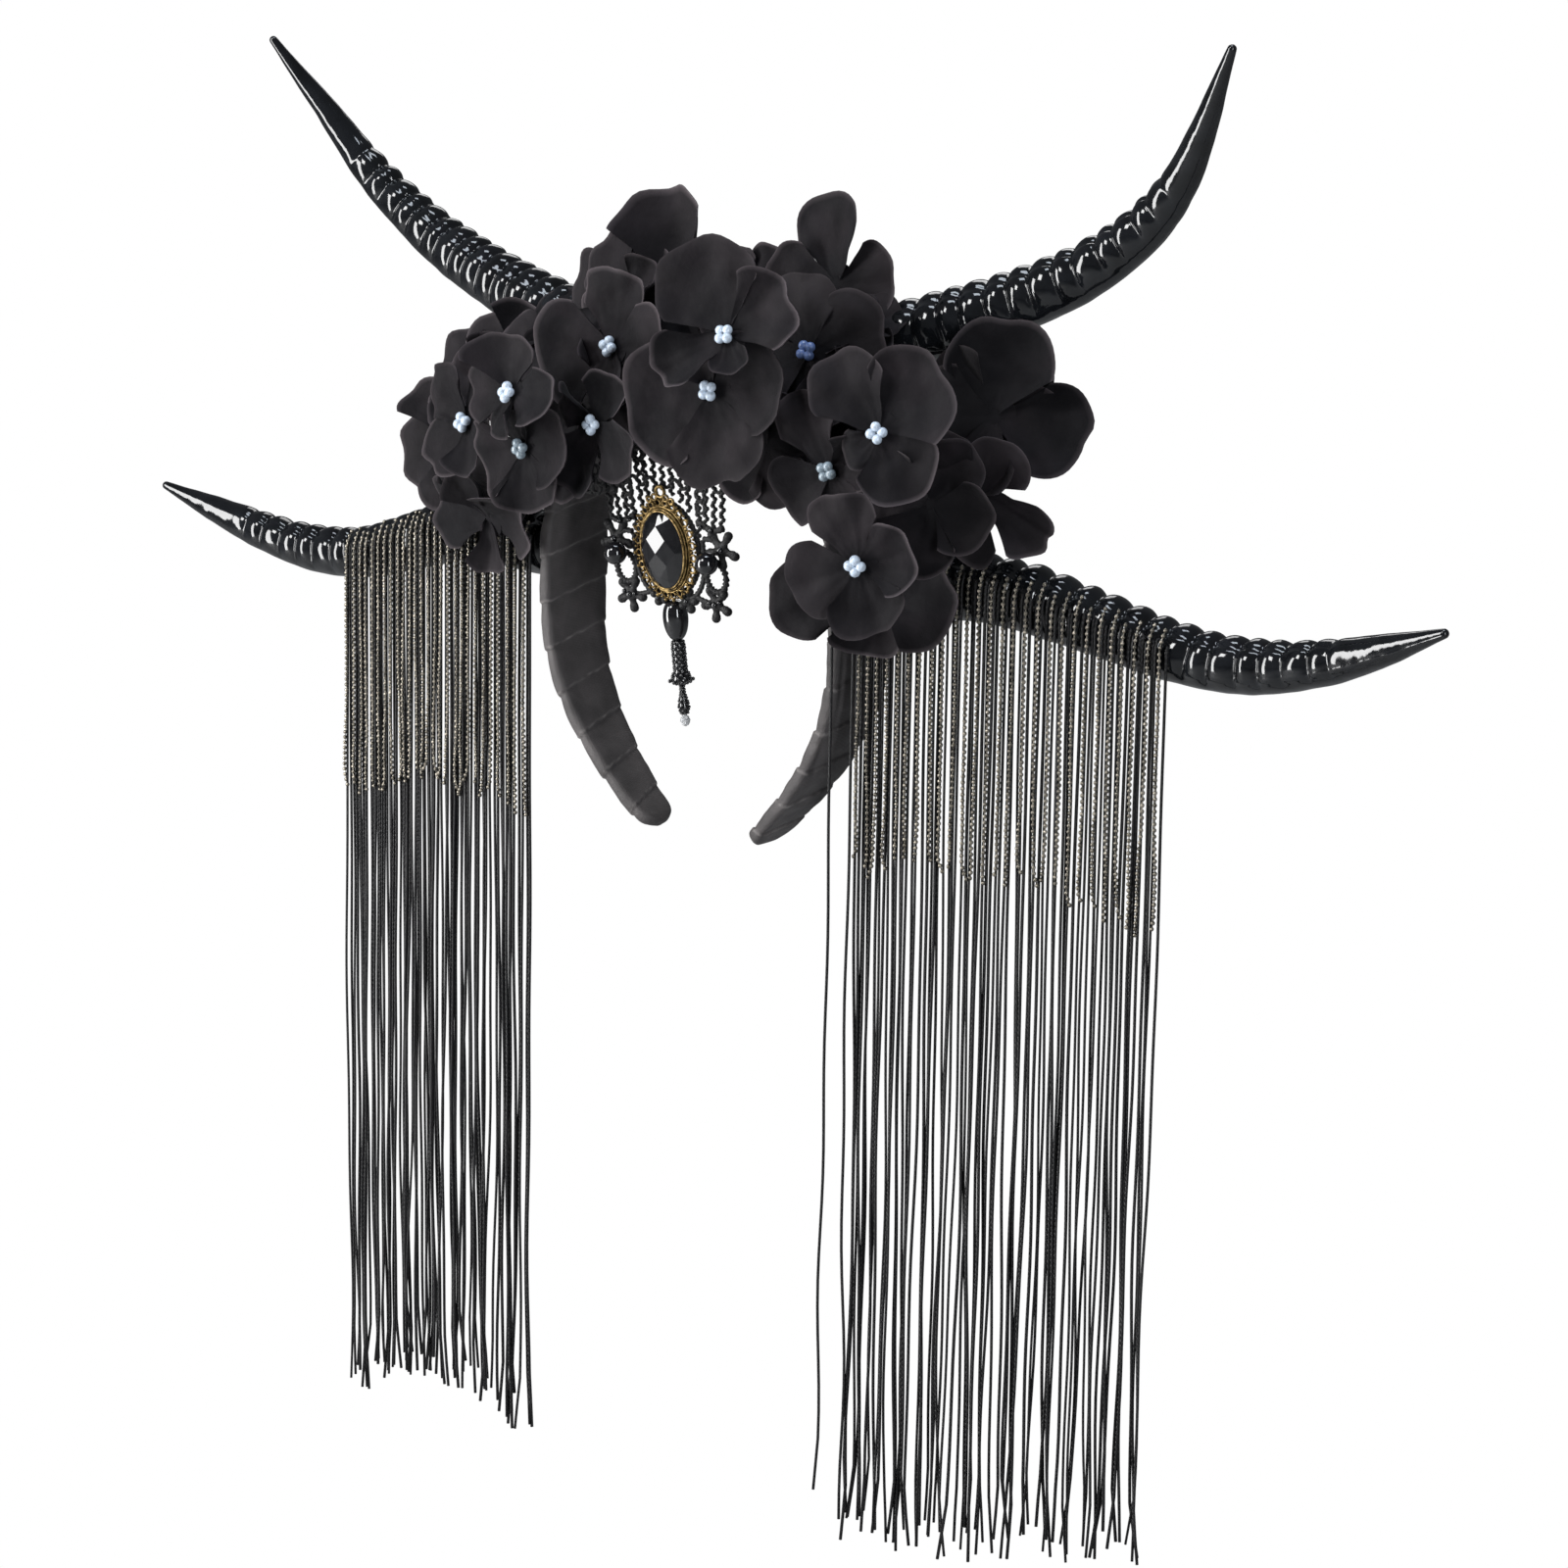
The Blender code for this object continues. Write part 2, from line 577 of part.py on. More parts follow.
def lace_outlines():
    """The lace spread flat, as (sideways, down): its edge, the slits between cords and the round gaps."""
    right = [(LACE_HALF_WIDTH * LACE_SEAT_SHARE, -LACE_RUN.length)]
    right += [(LACE_HALF_WIDTH * a, LACE_HEIGHT * b) for a, b in LACE_EDGE]
    edge = right + [(-x, down) for x, down in reversed(right)]
    panel = [(down, x) for x, down in right[:4]]
    outlines = [edge]
    top = -LACE_RUN.length * LACE_SLITS_START
    for k in range(LACE_SLITS):
        share = (k + 0.5) / LACE_SLITS * LACE_SLIT_SPREAD
        near_setting = math.sqrt(max(0.0, 1 - (share * LACE_HALF_WIDTH / SETTING_HALF_WIDTH) ** 2))
        bottom = SETTING_BELOW_KNEE - SETTING_HALF_HEIGHT * near_setting - LACE_CORD
        bottom = min(bottom, LACE_HEIGHT * LACE_SLITS_END)
        for sign in (-1, 1):
            slit = []
            for down_share, part_of_width in LACE_SLIT_SHAPE:
                down = top + (bottom - top) * down_share
                width = table_value(panel, down)
                half = (width / LACE_SLITS * LACE_SLIT_SPREAD - LACE_CORD) / 2 * part_of_width
                slit.append((sign * (share * width + half), down))
            outlines.append(slit)
    for a, b, half_a, half_b in LACE_HOLES:
        for sign in (-1, 1):
            centre = (sign * a * LACE_HALF_WIDTH, b * LACE_HEIGHT)
            outlines.append([(centre[0] + half_a * LACE_HALF_WIDTH * math.cos(t),
                              centre[1] + half_b * LACE_HEIGHT * math.sin(t))
                             for t in np.arange(6) * math.pi / 3])
    return outlines


def make_lace():
    """The pierced panel, bent from the flat at its knee."""
    mesh = flat_outline_mesh("lace", lace_outlines(), LACE_THICKNESS)
    for vertex in mesh.vertices:
        vertex.co = lace_point(vertex.co.x, vertex.co.y, vertex.co.z)
    bm = bmesh.new()
    bm.from_mesh(mesh)
    bmesh.ops.recalc_face_normals(bm, faces=bm.faces)
    bm.to_mesh(mesh)
    bm.free()
    return add_part("lace", mesh, BLACK_LACE, sharp_angle=30)


def pendant_frame(x, down, front):
    """A frame on the lace: X sideways, Y up along the lace, Z out of it."""
    origin = lace_point(x, down, front)
    up = Vector((0.0, -math.sin(LACE_LEAN), math.cos(LACE_LEAN)))
    outward = Vector((0.0, -math.cos(LACE_LEAN), -math.sin(LACE_LEAN)))
    across = up.cross(outward)
    return Matrix.Translation(origin) @ Matrix((across, up, outward)).transposed().to_4x4()


def oval(half_width, half_height, z, count, ripple=0.0, ripples=0):
    points = []
    for angle in np.arange(count) * 2 * math.pi / count:
        grow = ripple * abs(math.cos(angle * ripples / 2))
        points.append(((half_width + grow) * math.cos(angle), (half_height + grow) * math.sin(angle), z))
    return points


def cut(obj, cutter, operation="DIFFERENCE"):
    """Apply one exact Boolean to a part and remove the other mesh."""
    modifier = obj.modifiers.new("cut", "BOOLEAN")
    modifier.operation = operation
    modifier.object = cutter
    bpy.context.view_layer.update()
    mesh = bpy.data.meshes.new_from_object(obj.evaluated_get(bpy.context.evaluated_depsgraph_get()))
    obj.modifiers.clear()
    obj.data = mesh
    bpy.data.objects.remove(cutter, do_unlink=True)


def cutter_from(name, bm):
    mesh = bpy.data.meshes.new(name)
    bm.to_mesh(mesh)
    bm.free()
    cutter = bpy.data.objects.new(name, mesh)
    cutter.hide_render = True
    cutter.display_type = "WIRE"
    cutters.objects.link(cutter)
    return cutter


def make_setting():
    """The oval brass tray: a pierced, scalloped border round a raised rim, with a loop at the top."""
    count = SETTING_SCALLOPS * 2
    rim_out = (STONE_HALF_WIDTH + GAP + SETTING_RIM_WIDTH, STONE_HALF_HEIGHT + GAP + SETTING_RIM_WIDTH)
    rim_in = (STONE_HALF_WIDTH + GAP, STONE_HALF_HEIGHT + GAP)
    edge = (SETTING_HALF_WIDTH - SETTING_SCALLOP_DEPTH, SETTING_HALF_HEIGHT - SETTING_SCALLOP_DEPTH)
    ripple = dict(ripple=SETTING_SCALLOP_DEPTH, ripples=SETTING_SCALLOPS)
    rings = [
        oval(*rim_in, 0.0, count),
        oval(*edge, 0.0, count, **ripple),
        oval(*edge, SETTING_BASE, count, **ripple),
        oval(*rim_out, SETTING_BASE, count),
        oval(*rim_out, SETTING_RIM_HEIGHT, count),
        oval(*rim_in, SETTING_RIM_HEIGHT, count),
        oval(*rim_in, SETTING_BASE, count),
    ]
    obj = add_part("setting", loft("setting", rings), OLD_BRASS, sharp_angle=35)
    bm = bmesh.new()
    middle = ((edge[0] + rim_out[0]) / 2, (edge[1] + rim_out[1]) / 2)
    for x, y, _ in oval(*middle, 0.0, SETTING_SCALLOPS):
        bmesh.ops.create_cone(bm, cap_ends=True, segments=6, radius1=SETTING_HOLE_RADIUS,
                              radius2=SETTING_HOLE_RADIUS, depth=4 * SETTING_BASE,
                              matrix=Matrix.Translation((x, y, SETTING_BASE / 2)))
    cut(obj, cutter_from("border_holes", bm))
    bm = bmesh.new()
    loop_centre = Vector((0.0, SETTING_HALF_HEIGHT + BAIL_ABOVE, SETTING_BASE / 2))
    rings = []
    for angle in np.arange(BAIL_SECTIONS) * 2 * math.pi / BAIL_SECTIONS:
        outward = Vector((math.cos(angle), math.sin(angle), 0.0))
        rings.append([bm.verts.new(loop_centre + outward * (BAIL_RADIUS + BAIL_WIRE_RADIUS * math.cos(a))
                                   + Vector((0.0, 0.0, BAIL_WIRE_RADIUS * math.sin(a))))
                      for a in np.arange(BAIL_SIDES) * 2 * math.pi / BAIL_SIDES])
    for ring, following in zip(rings, rings[1:] + rings[:1]):
        for i in range(BAIL_SIDES):
            j = (i + 1) % BAIL_SIDES
            bm.faces.new((ring[i], ring[j], following[j], following[i]))
    bmesh.ops.recalc_face_normals(bm, faces=bm.faces)
    cut(obj, cutter_from("bail_loop", bm), "UNION")
    obj.matrix_world = pendant_frame(0.0, SETTING_BELOW_KNEE, LACE_THICKNESS / 2 + GAP)
    return obj


def make_stone():
    """The black oval stone: a flat table, two rows of facets, a girdle and a flat back."""
    bm = bmesh.new()
    table = (STONE_HALF_WIDTH * STONE_TABLE_SHARE, STONE_HALF_HEIGHT * STONE_TABLE_SHARE)
    crown = (STONE_HALF_WIDTH * STONE_CROWN_SHARE, STONE_HALF_HEIGHT * STONE_CROWN_SHARE)
    points = oval(*table, STONE_HEIGHT, STONE_SIDES // 2)
    points += oval(*crown, STONE_GIRDLE + (STONE_HEIGHT - STONE_GIRDLE) * STONE_CROWN_HEIGHT, STONE_SIDES)
    points += oval(STONE_HALF_WIDTH, STONE_HALF_HEIGHT, STONE_GIRDLE, STONE_SIDES)
    points += oval(STONE_HALF_WIDTH, STONE_HALF_HEIGHT, 0.0, STONE_SIDES)
    for point in points:
        bm.verts.new(point)
    bmesh.ops.convex_hull(bm, input=bm.verts)
    mesh = bpy.data.meshes.new("stone")
    bm.to_mesh(mesh)
    bm.free()
    obj = add_part("stone", mesh, BLACK_GLASS, sharp_angle=5)
    obj.matrix_world = pendant_frame(0.0, SETTING_BELOW_KNEE, LACE_THICKNESS / 2 + SETTING_BASE + 2 * GAP)
    return obj


def make_side_bead(name, side):
    bm = bmesh.new()
    bmesh.ops.create_uvsphere(bm, u_segments=TURNED_SIDES, v_segments=8, radius=BEAD_RADIUS)
    mesh = bpy.data.meshes.new(name)
    bm.to_mesh(mesh)
    bm.free()
    obj = add_part(name, mesh, BLACK_GLASS, sharp_angle=80)
    front = LACE_THICKNESS / 2 + GAP + BEAD_RADIUS
    obj.matrix_world = pendant_frame(side * BEAD_OUT, BEAD_BELOW_KNEE, front)
    return obj


def make_turned(name, profile, length, below, look):
    """A turned piece of the drop, with its shape as (radius, share of its length) from top to bottom."""
    rings = []
    for radius, share in profile[1:-1]:
        rings.append([(radius * math.cos(a), -share * length, radius * math.sin(a))
                      for a in np.arange(TURNED_SIDES) * 2 * math.pi / TURNED_SIDES])
    obj = add_part(name, loft(name, rings, (0.0, 0.0, 0.0), (0.0, -length, 0.0)), look, sharp_angle=60)
    obj.matrix_world = pendant_frame(0.0, below, 0.0)
    return obj


def make_drop():
    """Pear bead, lace-covered column with a flared foot, small drop and crystal, one below the other."""
    below = SETTING_BELOW_KNEE + SETTING_HALF_HEIGHT + DROP_CLEARANCE
    pieces = []
    for name, profile, length, look in (
            ("drop_bead", PEAR_SHAPE, PEAR_LENGTH, BLACK_GLASS),
            ("drop_column", COLUMN_SHAPE, COLUMN_LENGTH, BLACK_LACE),
            ("drop_tip", TIP_SHAPE, TIP_LENGTH, BLACK_LACE),
            ("drop_crystal", CRYSTAL_SHAPE, CRYSTAL_LENGTH, CLEAR_GLASS)):
        pieces.append(make_turned(name, profile, length, below, look))
        below += length + GAP
    return pieces


def flower_mesh(name, size, cup):
    """Four petals in one shell that opens along +Z, with a low eye and a pointed calyx behind."""
    length = PETAL_LENGTH * size
    top, bottom = [], []
    for row in PETAL_ROWS:
        upper, lower = [], []
        for petal in range(4):
            for column, reach in zip(PETAL_COLUMNS, PETAL_OUTLINE):
                angle = math.radians(petal * 90 + column)
                radius = length * (row * reach if row > PETAL_ROWS[0] else row)
                share = radius / length
                rise = length * math.tan(math.radians(cup)) * share ** CUP_POWER
                wave = PETAL_WAVE * length * share
                lift = wave * PETAL_LIFT_SHARE * math.cos(math.radians(2 * column)) * (-1) ** (petal + 1)
                curl = wave * share * math.sin(math.radians(3 * column))
                height = rise + lift + curl
                x, y = radius * math.cos(angle), radius * math.sin(angle)
                upper.append((x, y, height + PETAL_THICKNESS))
                lower.append((x, y, height))
        top.append(upper)
        bottom.append(lower)
    rings = top + bottom[::-1]
    return loft(name, rings, (0, 0, PETAL_THICKNESS + FLOWER_EYE), (0, 0, -CALYX_DEPTH))


def flower_turn(aside, tilt, spin):
    """The rotation that faces a flower: aside turns it round the head, tilt raises it."""
    yaw = Matrix.Rotation(math.radians(aside), 4, "Z")
    pitch = Matrix.Rotation(math.radians(90 - tilt), 4, "X")
    return yaw @ pitch @ Matrix.Rotation(math.radians(spin), 4, "Z")


def world_polygons(obj):
    """The points and faces of a part as it stands, with its modifiers."""
    bpy.context.view_layer.update()
    evaluated = obj.evaluated_get(bpy.context.evaluated_depsgraph_get())
    mesh = evaluated.to_mesh()
    points = [obj.matrix_world @ v.co for v in mesh.vertices]
    faces = [tuple(p.vertices) for p in mesh.polygons]
    evaluated.to_mesh_clear()
    return points, faces


def seat_flower(obj, outward, others):
    """Bring a flower in from outside until it rests on the pieces behind it, with a small gap."""
    start = obj.matrix_world.copy()
    points, faces = world_polygons(obj)
    behind = BVHTree.FromPolygons(others[0], others[1])
    distance = FLOWER_BED_WIDTH
    step = SEAT_STEP
    while step > SEAT_PRECISION:
        moved = [p + outward * (distance - step - FLOWER_SEAT) for p in points]
        if distance - step < 0 or BVHTree.FromPolygons(moved, faces).overlap(behind):
            step /= 2
        else:
            distance -= step
    obj.matrix_world = Matrix.Translation(outward * distance) @ start
    return [p + outward * distance for p in points], faces


def add_polygons(others, more):
    """Join two lists of points and faces."""
    shift = len(others[0])
    return others[0] + more[0], others[1] + [tuple(i + shift for i in face) for face in more[1]]


def make_flowers(carriers):
    """The bed of flowers, the deepest first, each one seated on what lies under it."""
    others = ([], [])
    for carrier in carriers:
        others = add_polygons(others, world_polygons(carrier))
    for name, sideways, up, aside, tilt, size, spin, cup in FLOWERS:
        obj = add_part(name, flower_mesh(name, size, cup), BLACK_PETAL, sharp_angle=80)
        place = Vector((sideways * FLOWER_BED_WIDTH, 0.0, up * FLOWER_BED_HEIGHT))
        obj.matrix_world = Matrix.Translation(place) @ flower_turn(aside, tilt, spin)
        outward = Vector((0.0, 1.0 if name.startswith("flower_rear") else -1.0, 0.0))
        others = add_polygons(others, seat_flower(obj, outward, others))


def make_fringes(side, word):
    """The threads on one lower horn and the chains that lie over them."""
    horn = lower_route(1)
    thread_ends = THREAD_ENDS_LEFT if side < 0 else THREAD_ENDS_RIGHT
    over_threads = FRINGE_CLEARANCE + THREAD_LAYER + CHAIN_CLEARANCE
    threads = make_fringe(f"thread_fringe_{word}", side, horn, THREAD_STRIPS, THREAD_STRIP_SHARE,
                          FRINGE_CLEARANCE, THREAD_LAYER, len(FRINGE_WRAP) - 1,
                          THREAD_END, thread_ends, BLACK_THREAD)
    chains = make_fringe(f"chain_fringe_{word}", side, horn, CHAIN_STRIPS, CHAIN_STRIP_SHARE,
                         over_threads, CHAIN_LAYER, CHAIN_RAIL_ROWS,
                         CHAIN_END, CHAIN_ENDS, DARK_CHAIN)
    return [threads, chains]


def main():
    clear_scene()
    carriers = [make_headband()]
    for side, word in ((-1, "left"), (1, "right")):
        carriers.append(make_horn(f"horn_upper_{word}", upper_route(side)))
        carriers.append(make_horn(f"horn_lower_{word}", lower_route(side)))
        carriers += make_fringes(side, word)
    carriers += [make_lace(), make_setting(), make_stone()]
    carriers += [make_side_bead("bead_left", -1), make_side_bead("bead_right", 1)]
    carriers += make_drop()
    make_flowers(carriers)


main()
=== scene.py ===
"""Looks of the antelope horn headband: horns, wrapped band, fringes, cloth flowers, lace and medallion.

Metres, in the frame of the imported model: the wearer faces -Y, +X is the right side of the picture, +Z is up.
"""
import math
import random

import bmesh
import bpy
import numpy as np
from mathutils import Matrix, Vector, noise


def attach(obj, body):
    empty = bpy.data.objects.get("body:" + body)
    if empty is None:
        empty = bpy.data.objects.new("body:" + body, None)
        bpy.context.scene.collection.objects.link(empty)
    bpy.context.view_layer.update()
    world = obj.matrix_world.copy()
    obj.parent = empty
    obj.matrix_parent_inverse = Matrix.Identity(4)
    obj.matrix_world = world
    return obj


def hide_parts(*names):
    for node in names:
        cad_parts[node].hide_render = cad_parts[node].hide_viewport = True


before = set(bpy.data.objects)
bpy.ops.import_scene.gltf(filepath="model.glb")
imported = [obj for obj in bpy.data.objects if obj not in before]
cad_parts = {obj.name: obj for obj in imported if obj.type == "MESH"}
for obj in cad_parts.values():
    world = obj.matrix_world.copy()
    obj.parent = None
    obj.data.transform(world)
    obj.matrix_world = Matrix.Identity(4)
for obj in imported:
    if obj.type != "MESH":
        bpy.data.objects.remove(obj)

MM = 0.001
TURN = 2 * math.pi
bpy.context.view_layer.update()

# Sizes of the construction that the finer pieces follow
BAND_THICKNESS = 4.0 * MM
BAND_WIDTH = 32.0 * MM
BAND_TIP_WIDTH = 15.0 * MM
BAND_HALF_SPAN = 65.0 * MM
BAND_RISE = 58.0 * MM
BAND_DROP = 95.0 * MM
BAND_TIP_HALF_GAP = 22.6 * MM
BAND_TIP_ANGLE = math.radians(41.0)
BAND_LEG_FULLNESS = 66.0 * MM
BAND_SHOULDER = 25.0 * MM
BAND_NARROWING = 0.55
UPPER_BASE = (12.0 * MM, 0.0, 16.1 * MM)
UPPER_SPREAD = (198.0 * MM, 12.0 * MM, 105.0 * MM)     # outward, backward, upward
UPPER_BASE_RADIUS = 12.4 * MM
LOWER_BASE = (67.3 * MM, 0.0, -56.0 * MM)
LOWER_SPREAD = (218.2 * MM, 16.0 * MM, 15.0 * MM)
LOWER_BASE_RADIUS = 12.0 * MM
RIB_PITCH = 9.2 * MM
UPPER_RIBS_END = 0.79
LOWER_RIBS_END = 0.83
FRINGE_IN = 74.0 * MM
FRINGE_OUT = 186.0 * MM
THREAD_END = -376.0 * MM
CHAIN_END = -147.0 * MM
LACE_KNEE = Vector((0.0, -29.0 * MM, -14.0 * MM))
LACE_SEAT = Vector((0.0, -16.9 * MM, 1.5 * MM))
LACE_LEAN = math.radians(9.0)
SETTING_BELOW_KNEE = 35.0 * MM
STONE_HALF_WIDTH = 9.2 * MM
STONE_HALF_HEIGHT = 13.3 * MM
BEAD_OUT = 20.6 * MM
BEAD_BELOW_KNEE = 37.5 * MM
BEAD_RADIUS = 4.0 * MM
DROP_BELOW_KNEE = 53.5 * MM
PETAL_LENGTH = 32.0 * MM
CALYX_DEPTH = 4.0 * MM

# Each row: share of the way out, share of the rise or dip, share of the bow
UPPER_ROUTE = (
    (0.000, 0.00, 0.00),
    (0.116, 0.02, 0.08),
    (0.242, 0.06, 0.25),
    (0.384, 0.13, 0.45),
    (0.530, 0.22, 0.75),
    (0.657, 0.32, 1.00),
    (0.768, 0.45, 1.00),
    (0.854, 0.60, 0.72),
    (0.919, 0.77, 0.22),
    (0.965, 0.90, -0.30),
    (1.000, 1.00, -0.67),
)
LOWER_ROUTE = (
    (0.000, 0.00, 0.00),
    (0.060, 0.06, 0.00),
    (0.130, 0.13, 0.03),
    (0.205, 0.16, 0.19),
    (0.280, 0.03, 0.38),
    (0.365, -0.28, 0.63),
    (0.457, -0.63, 0.84),
    (0.521, -0.86, 0.97),
    (0.610, -1.00, 1.00),
    (0.698, -0.93, 0.94),
    (0.801, -0.64, 0.81),
    (0.901, -0.20, 0.56),
    (1.000, 0.30, 0.25),
)
# Each row: share of the horn's length, share of its base radius
UPPER_TAPER = (
    (0.00, 1.00),
    (0.35, 0.92),
    (0.55, 0.78),
    (0.72, 0.60),
    (0.80, 0.46),
    (0.90, 0.30),
    (1.00, 0.12),
)
LOWER_TAPER = (
    (0.00, 1.00),
    (0.30, 0.96),
    (0.50, 0.84),
    (0.66, 0.76),
    (0.80, 0.60),
    (0.90, 0.40),
    (1.00, 0.13),
)
# Each row: share from the inner to the outer strand, drop of the ends below the nominal height
THREAD_ENDS_LEFT = ((0.0, 6.0 * MM), (0.25, -5.0 * MM), (0.7, 0.0), (0.9, 13.0 * MM), (1.0, 19.0 * MM))
THREAD_ENDS_RIGHT = ((0.0, 7.0 * MM), (0.5, 1.0 * MM), (1.0, -10.0 * MM))
CHAIN_ENDS = ((0.0, 4.0 * MM), (0.3, 0.0), (0.6, 1.0 * MM), (0.8, 8.0 * MM), (1.0, 14.0 * MM))

# Each row: name, turned aside, tilted up (degrees), size, turned in its own plane, cup (degrees), eye's beads
FLOWERS = (
    ("top_left", -5, 15, 1.00, 0, 10, None),
    ("back_left", -15, 20, 0.85, 40, 8, None),
    ("top_right", 15, 15, 0.95, 0, 10, None),
    ("far_left", -10, 10, 0.95, 20, 8, None),
    ("far_right", 35, 10, 1.00, -10, 8, None),
    ("outer_right", 30, -15, 0.85, 60, 8, None),
    ("low_left", -10, -20, 0.90, 0, 6, None),
    ("low_right", 15, -10, 0.95, 5, 6, None),
    ("inner_right", 15, 15, 0.90, 20, 6, "blue"),
    ("upper_left", -5, 10, 0.95, 5, 6, "pearl"),
    ("side_left", -10, 5, 0.80, 45, 8, "pearl"),
    ("front_left", -5, -5, 0.80, 55, 8, "pearl"),
    ("inner_left", -5, -10, 0.75, 10, 6, "grey"),
    ("mid_left", -10, 10, 0.80, 0, 8, "pearl"),
    ("lower_right", 10, -5, 0.80, 25, 6, "grey"),
    ("front_right", 20, 5, 1.00, 40, 6, "pearl"),
    ("front_centre", 5, 0, 1.05, 15, 6, "pearl"),
    ("upper_centre", 10, 15, 1.00, 30, 10, "pearl"),
    ("lowest_right", 15, -5, 1.00, 20, 6, "pearl"),
    ("rear_left", 195, 20, 1.00, 50, 10, None),
    ("rear_right", 165, 20, 1.00, 0, 10, None),
)


class Shell:
    """Points and faces of one mesh, gathered from many small forms."""

    def __init__(self):
        self.points, self.faces, self.shades, self.count = [], [], [], 0

    def add(self, points, faces, shade=0.0):
        points = np.asarray(points, dtype=float).reshape(-1, 3)
        for block in faces:
            self.faces += (np.asarray(block) + self.count).tolist()
        self.points.append(points)
        self.shades.append(np.broadcast_to(np.asarray(shade, dtype=float), len(points)))
        self.count += len(points)

    def add_shell(self, other, points):
        """The faces of another shell on points of its own."""
        self.faces += [[index + self.count for index in face] for face in other.faces]
        self.points.append(points)
        self.shades += other.shades
        self.count += len(points)


def make_piece(name, shell, material, nodes=(), sharp=None, place=None):
    """One mesh object of the shell, which rides on the part's body and stands for its nodes."""
    points = np.concatenate(shell.points)
    if place is not None:
        matrix = np.array(place)
        points = points @ matrix[:3, :3].T + matrix[:3, 3]
    mesh = bpy.data.meshes.new(name)
    mesh.from_pydata(points.tolist(), [], shell.faces)
    mesh.materials.append(material)
    mesh.shade_smooth()
    if sharp is not None:
        mesh.set_sharp_from_angle(angle=math.radians(sharp))
    shade = mesh.attributes.new("edge", "FLOAT", "POINT")
    shade.data.foreach_set("value", np.concatenate(shell.shades))
    obj = new_object(name, mesh)
    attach(obj, "root")
    if nodes:
        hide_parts(*nodes)


def new_object(name, data):
    obj = bpy.data.objects.new(name, data)
    bpy.context.scene.collection.objects.link(obj)
    return obj


def grid_faces(rows, columns, closed=True):
    """Quads between rows of points that follow each other, each row closed or open."""
    start = np.arange(columns if closed else columns - 1)
    following = (start + 1) % columns
    faces = []
    for row in range(rows - 1):
        a, b = row * columns, (row + 1) * columns
        faces.append(np.stack((a + start, a + following, b + following, b + start), axis=1))
    return np.concatenate(faces)


def fan_faces(centre, ring, flip=False):
    """Triangles from a centre point to a ring of points."""
    ring = list(ring)
    pairs = zip(ring, ring[1:] + ring[:1])
    return [(centre, b, a) if flip else (centre, a, b) for a, b in pairs]


def add_rings(shell, rings, shade=0.0):
    """Rings of equally many points, closed at both ends by fans to their middles."""
    rings = np.asarray(rings)
    rows, columns = rings.shape[:2]
    points = np.concatenate((rings.reshape(-1, 3), [rings[0].mean(axis=0), rings[-1].mean(axis=0)]))
    total = rows * columns
    if np.ndim(shade):
        shade = np.concatenate((shade, [0.0, 0.0]))
    shell.add(points, [grid_faces(rows, columns),
                       fan_faces(total, range(columns), flip=True),
                       fan_faces(total + 1, range(total - columns, total))], shade)


def path_frames(path, closed=False):
    """Two directions across a path at each of its points, without twist."""
    path = np.asarray(path, dtype=float)
    if closed:
        ahead = np.roll(path, -1, axis=0) - np.roll(path, 1, axis=0)
    else:
        ahead = np.gradient(path, axis=0)
    ahead /= np.linalg.norm(ahead, axis=1)[:, None]
    side = np.cross(ahead[0], (0.0, 1.0, 0.0))
    if np.linalg.norm(side) < 0.1:
        side = np.cross(ahead[0], (1.0, 0.0, 0.0))
    sides = []
    for direction in ahead:
        side = side - direction * side.dot(direction)
        side /= np.linalg.norm(side)
        sides.append(side)
    sides = np.array(sides)
    return sides, np.cross(ahead, sides)


def add_tube(shell, path, radius, sides=6, closed=False, shade=0.0, flatten=1.0):
    """A round or flattened cord along a path."""
    path = np.asarray(path, dtype=float)
    across, over = path_frames(path, closed)
    angles = np.arange(sides) * TURN / sides
    radius = np.broadcast_to(radius, len(path))[:, None, None]
    ring = (across[:, None, :] * np.cos(angles)[None, :, None]
            + over[:, None, :] * np.sin(angles)[None, :, None] * flatten)
    rings = path[:, None, :] + ring * radius
    if not closed:
        add_rings(shell, rings, shade)
        return
    rings = np.concatenate((rings, rings[:1]))
    faces = grid_faces(len(rings), sides)
    total = len(path) * sides
    shell.add(rings[:-1].reshape(-1, 3), [faces % total], shade)


def ball_template(segments, rows):
    """Points and faces of a round ball of radius 1."""
    points = [(0.0, 0.0, 1.0)]
    for row in range(1, rows):
        polar = math.pi * row / rows
        points += [(math.sin(polar) * math.cos(a), math.sin(polar) * math.sin(a), math.cos(polar))
                   for a in np.arange(segments) * TURN / segments]
    points.append((0.0, 0.0, -1.0))
    last = len(points) - 1
    faces = [fan_faces(0, range(1, segments + 1)),
             (grid_faces(rows - 1, segments) + 1)[:, ::-1],
             fan_faces(last, range(last - segments, last), flip=True)]
    return np.array(points), faces


def add_ball(shell, centre, radius, template, shade=0.0):
    points, faces = template
    shell.add(points * np.asarray(radius) + np.asarray(centre), faces, shade)


def table_value(table, share):
    return float(np.interp(share, [row[0] for row in table], [row[1] for row in table]))


def distances(path):
    """How far along a path each of its points is."""
    return np.concatenate(([0.0], np.cumsum(np.linalg.norm(np.diff(path, axis=0), axis=1))))


def smooth_route(points, steps=16):
    """Points on a curve that passes through the given ones."""
    points = np.asarray(points, dtype=float)
    knots = np.concatenate(([2 * points[0] - points[1]], points, [2 * points[-1] - points[-2]]))
    curve = []
    for a, b, c, d in zip(knots, knots[1:], knots[2:], knots[3:]):
        for step in range(steps):
            t = step / steps
            curve.append(0.5 * (2 * b + (c - a) * t + (2 * a - 5 * b + 4 * c - d) * t ** 2
                                + (3 * b - a - 3 * c + d) * t ** 3))
    curve.append(knots[-2])
    return np.array(curve)


